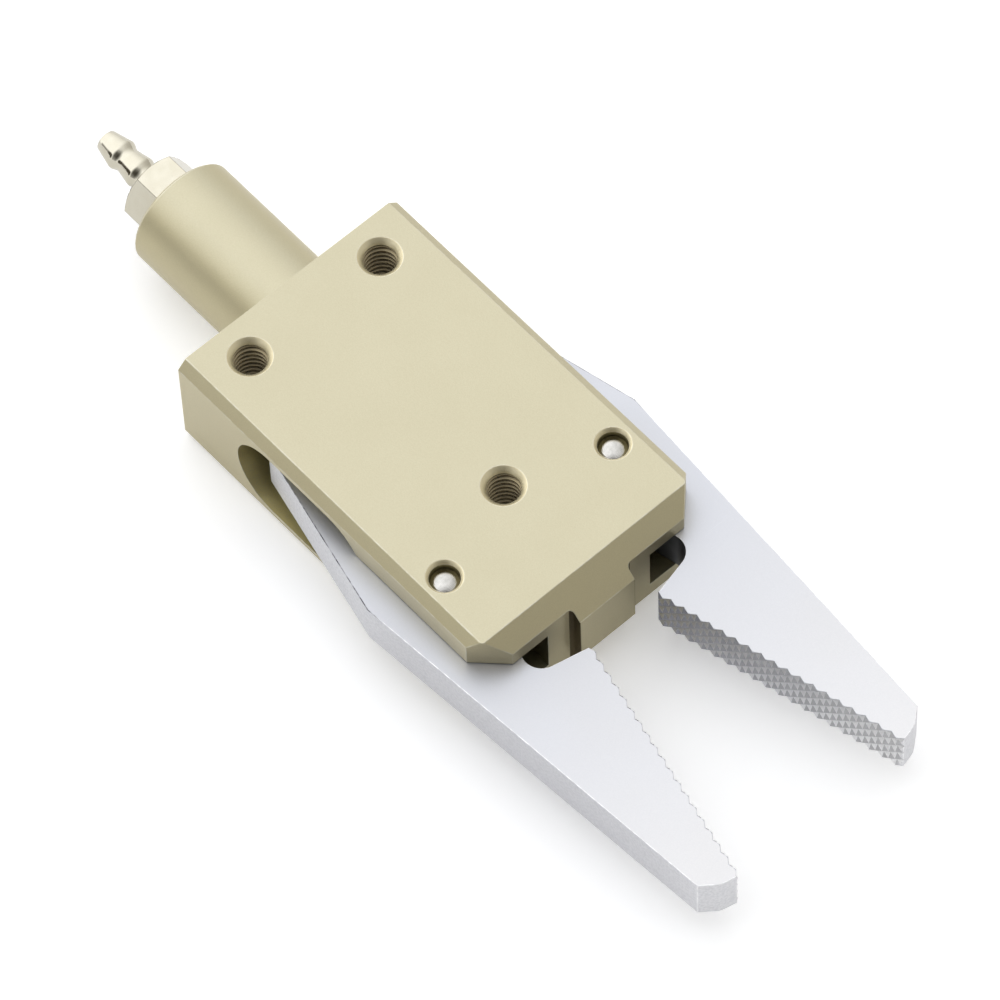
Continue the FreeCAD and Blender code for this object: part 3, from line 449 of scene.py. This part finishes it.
def zinc_plating():
    """Zinc plating of the jaws, with fine scratches; worn edges painted near white as a painted highlight, painted
    shade on the inner sides and on the edges in the window, and a painted shadow line along the teeth.
    """
    inner_painted_shade = (0.24, 0.25, 0.28)
    scratch_line = (0.78, 0.79, 0.81)
    edge_painted_shade_in_window = (0.08, 0.08, 0.09)
    # Worn edges, painted near white as a painted highlight
    bare_edge = (0.94, 0.94, 0.95)
    tooth_painted_shadow = (0.60, 0.61, 0.63)
    scratch_share = 0.5

    finish = Finish("zinc_plating", (0.62, 0.62, 0.64), 1.0, 0.5)
    length = finish.part_of(finish.place, "X")
    along = finish.share(length, *JAW_REACH)
    cast = finish.grain(9.0 * MM, detail=1.0, seed=2.0)
    satin = finish.grain(0.12 * MM, detail=3.0, seed=5.0)
    mottle = finish.grain(0.26 * MM, detail=4.0, seed=21.0)
    marks = finish.grain((0.05 * MM, 2.4 * MM, 2.4 * MM), detail=1.0, turn=(0.0, 0.0, 0.7), seed=9.0)
    patches = finish.grain(6.0 * MM, detail=1.0, seed=11.0)
    nicks = finish.grain(0.7 * MM, detail=3.0, seed=13.0)
    scratch = finish.combine(
        "MULTIPLY", finish.share(marks, 0.68, 0.74), finish.share(patches, 0.52, 0.62),
    )
    bare = finish.combine(
        "MULTIPLY", finish.marked("worn_and_highlit_edge"), finish.spread(nicks, 0.42, 0.60, 0.3, 1.0),
    )

    sides = mottled_sides(finish, length, along, mottle)
    cut = finish.blend(finish.share(finish.levelness(), *SIDE_TO_TOOTH), sides, cut_teeth(finish, along))
    # The jaw's inner sides darker: painted shade
    painted_hollows = finish.blend(finish.marked("inside"), cut, inner_painted_shade)
    faced = finish.blend(finish.level_faces(), painted_hollows, plated_flats(finish, along, cast, satin))
    scratched = finish.blend(finish.combine("MULTIPLY", scratch, scratch_share), faced, scratch_line)
    # Edges in the window painted dark as painted shade, the others near white as worn edges with a painted
    # highlight
    edges = finish.blend(finish.share(length, *JAW_WINDOW_END), edge_painted_shade_in_window, bare_edge)
    edged = finish.blend(bare, scratched, edges)
    finish.relief(satin, 0.006 * MM)
    finish.relief(mottle, 0.004 * MM)
    finish.relief(scratch, 0.004 * MM)
    return finish.done(
        # A painted shadow line along the edges of the teeth
        finish.blend(finish.marked("tooth_edge"), edged, tooth_painted_shadow),
        finish.vary(cast, 0.47, 0.53),
    )


def bright_nickel():
    """Bright nickel over turned brass, darker along its edges."""
    dull = (0.590, 0.553, 0.445)
    bright = (0.630, 0.595, 0.490)
    dark_edge = (0.30, 0.27, 0.22)
    edge_darkening_share = 0.6

    finish = Finish("bright_nickel", (0.61, 0.58, 0.51), 1.0, 0.10)
    turning = finish.grain((0.06 * MM, 9.0 * MM, 9.0 * MM))
    haze = finish.grain(1.5 * MM, seed=4.0)
    toned = finish.blend(finish.share(haze, *NOISE_MIDDLE), dull, bright)
    edge_darkening = finish.combine("MULTIPLY", finish.marked("worn_and_highlit_edge"), edge_darkening_share)
    finish.relief(turning, 0.0015 * MM)
    return finish.done(finish.blend(edge_darkening, toned, dark_edge), finish.vary(haze, 0.07, 0.15))


def ground_pin_steel(name, x, y):
    """Hardened pin steel with turning rings about an upright line at x, y."""
    dull = (0.47, 0.46, 0.43)
    bright = (0.57, 0.555, 0.525)

    finish = Finish(name, (0.52, 0.51, 0.48), 1.0, 0.16)
    haze = finish.grain(0.5 * MM, detail=3.0, seed=6.0)
    finish.relief(finish.rings("Z", 0.12 * MM, 0.6, centre=(x, y, 0.0)), 0.003 * MM)
    return finish.done_all_over(
        haze, ends=NOISE_MIDDLE, tones=(dull, bright), depth=0.004 * MM, roughness=(0.13, 0.20),
    )


def turned_aluminium():
    """Bare turned aluminium, its tool marks round the shank's axis."""
    dull = (0.62, 0.62, 0.63)
    bright = (0.70, 0.70, 0.71)

    finish = Finish("turned_aluminium", (0.66, 0.66, 0.67), 1.0, 0.30)
    haze = finish.grain(1.2 * MM, detail=3.0, seed=8.0)
    finish.relief(finish.rings("X", 0.15 * MM, 0.5), 0.004 * MM)
    toned = finish.blend(finish.share(haze, *NOISE_MIDDLE), dull, bright)
    return finish.done(toned, finish.vary(haze, 0.26, 0.36))


def hardened_steel():
    """Dark hardened steel, ground along the shank's axis."""
    dry = (0.31, 0.31, 0.33)
    oiled = (0.41, 0.41, 0.42)
    bare_edge = (0.55, 0.55, 0.56)
    bare_share = 0.7

    finish = Finish("hardened_steel", (0.36, 0.36, 0.38), 1.0, 0.28)
    grinding = finish.grain((6.0 * MM, 0.06 * MM, 0.06 * MM), seed=1.0)
    oil = finish.grain(2.5 * MM, seed=12.0)
    toned = finish.blend(finish.share(oil, *NOISE_MIDDLE), dry, oiled)
    bare = finish.combine("MULTIPLY", finish.marked("worn_and_highlit_edge"), bare_share)
    finish.relief(grinding, 0.003 * MM)
    return finish.done(finish.blend(bare, toned, bare_edge), finish.vary(grinding, 0.22, 0.36))


def spring_wire():
    """Drawn spring wire with a thin film of grease."""
    finish = Finish("spring_wire", (0.46, 0.46, 0.47), 1.0, 0.3)
    return finish.done_all_over(
        finish.grain(0.2 * MM, detail=3.0, seed=15.0), ends=NOISE_MIDDLE,
        tones=((0.40, 0.40, 0.41), (0.52, 0.52, 0.53)), depth=0.004 * MM, roughness=(0.24, 0.38),
    )


def sintered_bronze():
    """Porous sintered bronze of the rod's bush."""
    finish = Finish("sintered_bronze", (0.56, 0.38, 0.19), 1.0, 0.42)
    return finish.done_all_over(
        finish.grain(0.15 * MM, detail=4.0, seed=16.0), ends=(0.40, 0.60),
        tones=((0.36, 0.23, 0.11), (0.60, 0.42, 0.22)), depth=0.012 * MM, roughness=(0.36, 0.52),
    )


def nitrile_rubber():
    """Black moulded rubber of the seals and the bumper."""
    finish = Finish("nitrile_rubber", (0.022, 0.022, 0.023), 0.0, 0.55)
    return finish.done_all_over(
        finish.grain(0.6 * MM, detail=4.0, seed=17.0), ends=(0.4, 0.7),
        tones=((0.018, 0.018, 0.019), (0.040, 0.040, 0.042)), depth=0.006 * MM, roughness=(0.48, 0.66),
    )


def filled_plastic():
    """Off-white bearing plastic of the piston's guide ring."""
    finish = Finish("filled_plastic", (0.68, 0.65, 0.57), 0.0, 0.5)
    return finish.done_all_over(
        finish.grain(0.25 * MM, detail=4.0, seed=18.0), ends=(0.4, 0.65),
        tones=((0.70, 0.67, 0.59), (0.55, 0.50, 0.42)), depth=0.005 * MM, roughness=(0.44, 0.58),
    )


def pressed_fibre():
    """Red-brown pressed fibre of the fitting's washer."""
    finish = Finish("pressed_fibre", (0.17, 0.035, 0.022), 0.0, 0.7)
    return finish.done_all_over(
        finish.grain((0.8 * MM, 0.1 * MM, 0.5 * MM), detail=4.0, seed=19.0), ends=(0.38, 0.65),
        tones=((0.13, 0.026, 0.017), (0.24, 0.070, 0.045)), depth=0.015 * MM, roughness=(0.62, 0.8),
    )


def new_object(name, data):
    """An object in the scene for a mesh or a lens."""
    placed = bpy.data.objects.new(name, data)
    bpy.context.scene.collection.objects.link(placed)
    return placed


def object_of(shape, name):
    """An object of a shape, which is used up."""
    mesh = bpy.data.meshes.new(name)
    shape.to_mesh(mesh)
    shape.free()
    return new_object(name, mesh)


def evaluated_mesh(piece, name):
    """The piece's mesh with its modifiers worked in."""
    view = bpy.context.evaluated_depsgraph_get()
    mesh = bpy.data.meshes.new_from_object(piece.evaluated_get(view), depsgraph=view)
    mesh.name = name
    return mesh


def keep_evaluated(piece):
    """Works the piece's modifiers into its mesh and takes them off."""
    plain_mesh = piece.data
    piece.data = evaluated_mesh(piece, piece.name)
    piece.modifiers.clear()
    bpy.data.meshes.remove(plain_mesh)


def make_flats_whole(shape):
    """Joins the triangles of each flat face."""
    bmesh.ops.dissolve_limit(
        shape, angle_limit=FLAT_ANGLE, use_dissolve_boundaries=False,
        verts=shape.verts, edges=shape.edges, delimit=set(),
    )


def joined_copy(node):
    """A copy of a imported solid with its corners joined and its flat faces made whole."""
    shape = bmesh.new()
    shape.from_mesh(frame["nodes"][node].data)
    bmesh.ops.remove_doubles(shape, verts=shape.verts, dist=JOIN_DISTANCE)
    make_flats_whole(shape)
    return shape


def levelness(face):
    """1 where a face lies level, 0 where it stands upright."""
    return abs(face.normal.z)


def outer_edge(edge):
    """True on a sharp edge that stands out."""
    return edge.is_manifold and edge.is_convex and edge.calc_face_angle() > EDGE_ANGLE


def plate_edge(edge):
    """True on a sharp edge between a jaw's flat faces and its upright sides, clear of the teeth."""
    if not outer_edge(edge):
        return False
    return all(levelness(face) > LEVEL or levelness(face) < TOOTH_STEEPEST for face in edge.link_faces)


def tooth_edge(edge):
    """True on a sharp edge between a jaw's flat faces and its teeth."""
    if not outer_edge(edge):
        return False
    steep, flat = sorted(levelness(face) for face in edge.link_faces)
    return flat > LEVEL and TOOTH_STEEPEST <= steep < TOOTH_FLATTEST


def break_edges(shape, width, chosen, mark="worn_and_highlit_edge"):
    """Rounds the chosen edges a little and marks them."""
    broken = shape.faces.layers.float.new(mark)
    made = bmesh.ops.bevel(
        shape, geom=[edge for edge in shape.edges if chosen(edge)], offset=width, offset_type="OFFSET",
        segments=EDGE_STEPS, profile=0.5, affect="EDGES", clamp_overlap=False, loop_slide=True,
    )
    for face in made["faces"]:
        face[broken] = 1.0


def bored(shape):
    """Opens the block's screw holes below their mouths to the full diameter of the threads."""
    drill_shape = bmesh.new()
    for x, y in THREAD_HOLES:
        bmesh.ops.create_cone(
            drill_shape, cap_ends=True, segments=DRILL_SIDES,
            depth=cad_high.z - cad_low.z - THREAD_INSET * 2,
            radius1=THREAD_DIAMETER / 2, radius2=THREAD_DIAMETER / 2,
            matrix=Matrix.Translation((x, y, 0.0)),
        )
    drill = object_of(drill_shape, "thread_drill")
    block = object_of(shape, "block_before_drilling")
    cut = block.modifiers.new("drilling", "BOOLEAN")
    cut.operation = "DIFFERENCE"
    cut.solver = "EXACT"
    cut.object = drill
    drilled = bmesh.new()
    drilled.from_mesh(evaluated_mesh(block, "drilled_block"))
    bpy.data.objects.remove(block)
    bpy.data.objects.remove(drill)
    make_flats_whole(drilled)
    return drilled


def mark_holes(shape, holes, diameter, darkness):
    """Marks the walls of upright holes for painted shade and their mouths for a painted highlight."""
    wall = shape.faces.layers.float["painted_shade"]
    mouth = shape.faces.layers.float["painted_mouth_highlight"]
    for face in shape.faces:
        middle = face.calc_center_median()
        distance = min(math.hypot(middle.x - x, middle.y - y) for x, y in holes)
        if levelness(face) < BORE_WALL and distance < diameter * WALL_REACH:
            face[wall] = darkness
        elif MOUTH_STEEPEST < levelness(face) < MOUTH_FLATTEST and distance < diameter * MOUTH_REACH:
            face[mouth] = 1.0


def folded(place):
    """A place in the block, folded over to its upper left quarter."""
    return Vector((place.x, abs(place.y), abs(place.z)))


def within(place, low, high):
    """True where a place lies in the box from low to high."""
    return all(low[axis] <= place[axis] <= high[axis] for axis in range(3))


def mark_front(shape):
    """Marks the upright faces of the block's front for painted shade, and the corners beside its tab for darker
    painted shade.
    """
    wall = shape.faces.layers.float["painted_shade"]
    for face in shape.faces:
        place = folded(face.calc_center_median())
        if levelness(face) > UPRIGHT or not within(place, FRONT_LOW, FRONT_HIGH):
            continue
        if face.normal.x > FRONT_FACING:
            face[wall] = FRONT_DARKNESS
        elif within(place, TAB_CORNER_LOW, TAB_CORNER_HIGH):
            face[wall] = TAB_CORNER_DARKNESS


def mark_inside(shape):
    """Marks the walls of the window for painted light and those of the jaw slots for painted shade."""
    mark = shape.faces.layers.float["inside"]
    for face in shape.faces:
        middle = face.calc_center_median()
        place = folded(middle)
        outward = face.normal.y * math.copysign(1.0, middle.y)
        outer_corner = place.y > OUTER_CORNER and outward > OUTER_CORNER_FACING
        if within(place, PAINTED_INSIDE_LOW, PAINTED_INSIDE_HIGH) and not outer_corner:
            face[mark] = 1.0


def mark_jaw_inside(shape):
    """Marks the upright faces that a jaw turns to the middle of the block, for painted shade."""
    mark = shape.faces.layers.float.new("inside")
    for face in shape.faces:
        middle = face.calc_center_median()
        inward = -face.normal.y * math.copysign(1.0, middle.y)
        if levelness(face) < UPRIGHT and middle.x < JAW_THROAT and inward > JAW_INWARD:
            face[mark] = 1.0


def smooth_shaded(shape, name):
    """A piece whose curves run smoothly and whose flat faces stay flat."""
    for face in shape.faces:
        face.smooth = True
    piece = object_of(shape, name)
    if "custom_normal" in piece.data.attributes:
        piece.data.attributes.remove(piece.data.attributes["custom_normal"])
    piece.data.set_sharp_from_angle(angle=SHARP_ANGLE)
    even = piece.modifiers.new("flat_faces_first", "WEIGHTED_NORMAL")
    even.mode = "FACE_AREA"
    even.weight = FLAT_FACE_WEIGHT
    even.keep_sharp = True
    keep_evaluated(piece)
    return piece


def wear_finish(mesh, material):
    """Makes a material the only one of a mesh."""
    mesh.materials.clear()
    mesh.materials.append(material)


def seat(piece, material, node):
    """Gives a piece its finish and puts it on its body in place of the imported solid."""
    wear_finish(piece.data, material)
    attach(piece, BODY_OF[node])
    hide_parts(node)


def finished(node, material, edge_width):
    """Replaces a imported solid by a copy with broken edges."""
    shape = joined_copy(node)
    break_edges(shape, edge_width, outer_edge)
    seat(smooth_shaded(shape, node + "_finished"), material, node)


def finished_jaw(node, material):
    """Replaces a jaw: its tooth edges are broken first, because its plate edges end in them."""
    shape = joined_copy(node)
    break_edges(shape, TOOTH_EDGE, tooth_edge, "tooth_edge")
    break_edges(shape, JAW_EDGE, plate_edge)
    bmesh.ops.remove_doubles(shape, verts=shape.verts, dist=JOIN_DISTANCE)
    mark_jaw_inside(shape)
    seat(smooth_shaded(shape, node + "_finished"), material, node)


def finished_block(material):
    """Replaces the block: its screw holes are opened for the threads, and its hollows, front and hole mouths
    marked for painted light and shade.
    """
    shape = bored(joined_copy("gripper_body"))
    break_edges(shape, BLOCK_EDGE, outer_edge)
    for mark in ("painted_shade", "painted_mouth_highlight", "inside"):
        shape.faces.layers.float.new(mark)
    mark_holes(shape, THREAD_HOLES, THREAD_DIAMETER, THREAD_DARKNESS)
    mark_holes(shape, PIN_HOLES, PIN_HOLE_DIAMETER, PIN_HOLE_DARKNESS)
    mark_front(shape)
    mark_inside(shape)
    seat(smooth_shaded(shape, "gripper_body_finished"), material, "gripper_body")


def coil_tree(name, draw_section, section_sizes):
    """A tree that winds a section into an upright coil on each point it is given."""
    tree = bpy.data.node_groups.new(name, "GeometryNodeTree")
    keys = {}
    for size, kind, value in (
        ("Points", "NodeSocketGeometry", None),
        ("Mean radius", "NodeSocketFloat", 1.0 * MM),
        ("Length", "NodeSocketFloat", 10.0 * MM),
        ("Turns", "NodeSocketFloat", 8.0),
        ("Steps in a turn", "NodeSocketInt", 40),
        ("Fading turns", "NodeSocketFloat", 0.0),
        ("Thickness at the ends", "NodeSocketFloat", 1.0),
        ("Lie", "NodeSocketVector", (0.0, 0.0, 0.0)),
        ("Finish", "NodeSocketMaterial", None),
        *section_sizes,
    ):
        socket = tree.interface.new_socket(size, in_out="INPUT", socket_type=kind)
        if value is not None:
            socket.default_value = value
        keys[size] = socket.identifier
    tree.interface.new_socket("Coils", in_out="OUTPUT", socket_type="NodeSocketGeometry")

    given = added(tree, "NodeGroupInput", {}).outputs
    spiral = added(tree, "GeometryNodeCurveSpiral", {
        "Resolution": given["Steps in a turn"], "Rotations": given["Turns"], "Height": given["Length"],
        "Start Radius": given["Mean radius"], "End Radius": given["Mean radius"],
    })
    upright = added(tree, "GeometryNodeSetCurveNormal", {"Curve": spiral.outputs["Curve"]}, mode="Z_UP")
    part = added(tree, "GeometryNodeSplineParameter", {}).outputs["Factor"]
    nearer_end = worked_out(tree, "MINIMUM", part, worked_out(tree, "SUBTRACT", 1.0, part))
    fade = added(tree, "ShaderNodeMapRange", {
        "Value": worked_out(tree, "MULTIPLY", nearer_end, given["Turns"]),
        "From Max": given["Fading turns"], "To Min": given["Thickness at the ends"],
    })
    swept = added(tree, "GeometryNodeCurveToMesh", {
        "Curve": upright.outputs["Curve"], "Profile Curve": draw_section(tree, given),
        "Scale": fade.outputs["Result"], "Fill Caps": True,
    })
    laid = added(tree, "GeometryNodeTransform", {
        "Geometry": swept.outputs["Mesh"], "Rotation": given["Lie"],
    })
    placed = added(tree, "GeometryNodeInstanceOnPoints", {
        "Points": given["Points"], "Instance": laid.outputs["Geometry"],
    })
    real = added(tree, "GeometryNodeRealizeInstances", {"Geometry": placed.outputs["Instances"]})
    dressed = added(tree, "GeometryNodeSetMaterial", {
        "Geometry": real.outputs["Geometry"], "Material": given["Finish"],
    })
    added(tree, "NodeGroupOutput", {"Coils": dressed.outputs["Geometry"]})
    return tree, keys


def thread_section(tree, given):
    """A thread's ridge in section: wide at the wall, narrow at the crest."""
    ridge = added(tree, "GeometryNodeCurvePrimitiveQuadrilateral", {
        "Bottom Width": given["Foot"], "Top Width": given["Crest"],
        "Height": given["Depth"], "Offset": 0.0,
    }, mode="TRAPEZOID")
    turned = added(tree, "GeometryNodeTransform", {
        "Geometry": ridge.outputs["Curve"], "Rotation": (0.0, 0.0, math.radians(-90)),
    })
    return turned.outputs["Geometry"]


def wire_section(tree, given):
    """Round wire."""
    wire = added(tree, "GeometryNodeCurvePrimitiveCircle", {
        "Resolution": WIRE_SIDES, "Radius": given["Wire radius"],
    })
    return wire.outputs["Curve"]


def wound(name, points, coil, sizes, material):
    """A piece of coils, one on each point."""
    tree, keys = coil
    mesh = bpy.data.meshes.new(name)
    mesh.from_pydata(points, [], [])
    piece = new_object(name, mesh)
    winding = piece.modifiers.new("winding", "NODES")
    winding.node_group = tree
    for size, value in sizes.items():
        winding[keys[size]] = value
    winding[keys["Finish"]] = material
    keep_evaluated(piece)
    for face in piece.data.polygons:
        face.use_smooth = True
    piece.data.set_sharp_from_angle(angle=SHARP_ANGLE)
    return piece


def screw_threads(material):
    """The ridges of all screw holes in the block, as one piece."""
    coil = coil_tree("thread_ridge", thread_section, (
        ("Foot", "NodeSocketFloat", THREAD_FOOT),
        ("Crest", "NodeSocketFloat", THREAD_CREST),
        ("Depth", "NodeSocketFloat", THREAD_DEPTH),
    ))
    low = cad_low.z + THREAD_INSET
    length = cad_high.z - THREAD_INSET - low
    piece = wound("screw_threads", [(x, y, low) for x, y in THREAD_HOLES], coil, {
        "Mean radius": (THREAD_DIAMETER - THREAD_DEPTH) / 2,
        "Length": length,
        "Turns": length / THREAD_PITCH,
        "Steps in a turn": THREAD_STEPS,
        "Fading turns": THREAD_FADE,
        "Thickness at the ends": THREAD_END,
        "Foot": THREAD_FOOT,
        "Crest": THREAD_CREST,
        "Depth": THREAD_DEPTH,
    }, material)
    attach(piece, BODY_OF["gripper_body"])


def return_spring(coil, material):
    """The spring round the rod."""
    low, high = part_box("return_spring")
    piece = wound("return_spring_wire", [(low.x + RETURN_WIRE / 2, 0.0, 0.0)], coil, {
        "Mean radius": RETURN_RADIUS,
        "Length": high.x - low.x - RETURN_WIRE,
        "Turns": RETURN_TURNS,
        "Steps in a turn": RETURN_STEPS,
        "Lie": (0.0, math.radians(90), 0.0),
        "Wire radius": RETURN_WIRE / 2,
    }, material)
    seat(piece, material, "return_spring")
    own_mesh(piece)


def opening_spring(coil, material):
    """The spring across the block, between the jaws."""
    low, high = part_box("opening_spring")
    middle = (low.x + high.x) / 2
    piece = wound("opening_spring_wire", [(middle, low.y + OPENING_WIRE / 2, 0.0)], coil, {
        "Mean radius": OPENING_RADIUS,
        "Length": high.y - low.y - OPENING_WIRE,
        "Turns": OPENING_TURNS,
        "Steps in a turn": OPENING_STEPS,
        "Lie": (math.radians(-90), 0.0, 0.0),
        "Wire radius": OPENING_WIRE / 2,
    }, material)
    seat(piece, material, "opening_spring")
    hinge = JOINTS["jaw_left_pivot"]
    arm = Vector((middle - hinge["pos_m"][0], high.y - hinge["pos_m"][1], 0.0))
    arm.rotate(Quaternion((0.0, 0.0, -1.0), math.radians(hinge["range_deg"][1])))
    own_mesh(piece)


def paper_floor():
    """A wide sheet of white paper under the gripper. It has a little light of its own."""
    sheet = bmesh.new()
    bmesh.ops.create_grid(
        sheet, x_segments=2, y_segments=2, size=PAPER_HALF,
        matrix=Matrix.Translation((0.0, 0.0, cad_low.z)),
    )
    floor = object_of(sheet, "paper_floor")
    paper = bpy.data.materials.new("white_paper")
    paper.use_nodes = True
    tree = paper.node_tree
    tree.nodes.clear()
    ray = added(tree, "ShaderNodeLightPath", {}).outputs
    in_metal = worked_out(tree, "MAXIMUM", ray["Is Glossy Ray"], ray["Is Transmission Ray"])
    mirrored = worked_out(tree, "MULTIPLY", in_metal, PAPER_IN_METAL)
    lift = worked_out(tree, "MULTIPLY_ADD", ray["Is Camera Ray"], PAPER_LIFT, mirrored)
    glow = added(tree, "ShaderNodeEmission", {"Strength": lift})
    matte = added(tree, "ShaderNodeBsdfDiffuse", {"Color": (PAPER_GREY, PAPER_GREY, PAPER_GREY, 1.0)})
    both = added(tree, "ShaderNodeAddShader", {})
    put(tree, both.inputs[0], matte.outputs["BSDF"])
    put(tree, both.inputs[1], glow.outputs["Emission"])
    added(tree, "ShaderNodeOutputMaterial", {"Surface": both.outputs["Shader"]})
    floor.data.materials.append(paper)


def studio_light():
    """A white room, lit from behind and above, that is dark at the front and in two small gaps."""
    world = bpy.data.worlds.new("soft_studio")
    bpy.context.scene.world = world
    world.use_nodes = True
    tree = world.node_tree
    tree.nodes.clear()
    towards = added(tree, "ShaderNodeTexCoord", {}).outputs["Generated"]
    colour = STUDIO_SHADE
    for label, direction, begins, full, layer in STUDIO_LAYERS:
        nearness = added(tree, "ShaderNodeVectorMath", {}, operation="DOT_PRODUCT", label=label)
        put(tree, nearness.inputs[0], towards)
        put(tree, nearness.inputs[1], Vector(direction).normalized())
        share = added(tree, "ShaderNodeMapRange", {
            "Value": nearness.outputs["Value"], "From Min": begins, "From Max": full,
        }, interpolation_type="SMOOTHSTEP")
        colour = mixed(tree, share.outputs["Result"], colour, layer)
    light = added(tree, "ShaderNodeBackground", {"Color": colour})
    added(tree, "ShaderNodeOutputWorld", {"Surface": light.outputs["Background"]})


def photo_camera():
    """A long lens, high over the gripper's front corner."""
    target = Vector((29.125, 1.133, 0.0)) * MM
    distance = 729.117 * MM
    azimuth = math.radians(50.507)
    elevation = math.radians(59.78)
    roll = math.radians(-2.767)
    back = Vector((
        math.sin(azimuth) * math.cos(elevation),
        -math.cos(azimuth) * math.cos(elevation),
        math.sin(elevation),
    ))
    lens = bpy.data.cameras.new("long_lens")
    lens.lens = 274.85
    lens.sensor_width = 36.0
    lens.clip_start = 0.05
    lens.clip_end = 200.0
    camera = new_object("photo_camera", lens)
    camera.location = target + back * distance
    camera.rotation_mode = "QUATERNION"
    camera.rotation_quaternion = (-back).to_track_quat("-Z", "Y") @ Quaternion((0.0, 0.0, 1.0), roll)
    bpy.context.scene.camera = camera


bpy.context.scene.view_settings.view_transform = "Standard"
photo_camera()
paper_floor()
studio_light()

plating = zinc_plating()
aluminium = turned_aluminium()
hard_steel = hardened_steel()
wire_steel = spring_wire()
inner_steel = ground_pin_steel("inner_steel", 0.0, 0.0)
rubber = nitrile_rubber()

finished_block(champagne_anodising())
screw_threads(cut_thread())
finished_jaw("jaw_left", plating)
finished_jaw("jaw_right", plating)
for pin in ("pivot_pin_left", "pivot_pin_right"):
    pin_low, pin_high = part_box(pin)
    pin_middle = (pin_low + pin_high) / 2
    finished(pin, ground_pin_steel(pin + "_steel", pin_middle.x, pin_middle.y), PIN_EDGE)
finished("barb_fitting", bright_nickel(), PART_EDGE)
finished("rear_plug", aluminium, PART_EDGE)
finished("piston_rod", hard_steel, FINE_EDGE)
finished("wedge_nose", hard_steel, PART_EDGE)
finished("rod_guide_bush", sintered_bronze(), FINE_EDGE)

spring_coil = coil_tree("spring_coil", wire_section, (
    ("Wire radius", "NodeSocketFloat", OPENING_WIRE / 2),
))
return_spring(spring_coil, wire_steel)
opening_spring(spring_coil, wire_steel)

for node, material in (
    ("rear_plug_o_ring", rubber), ("piston_seal", rubber), ("piston_bumper", rubber),
    ("fitting_seal_washer", pressed_fibre()), ("piston", aluminium),
    ("piston_guide_ring", filled_plastic()), ("piston_nut", inner_steel), ("wedge_cross_pin", inner_steel),
):
    wear_finish(frame["nodes"][node].data, material)
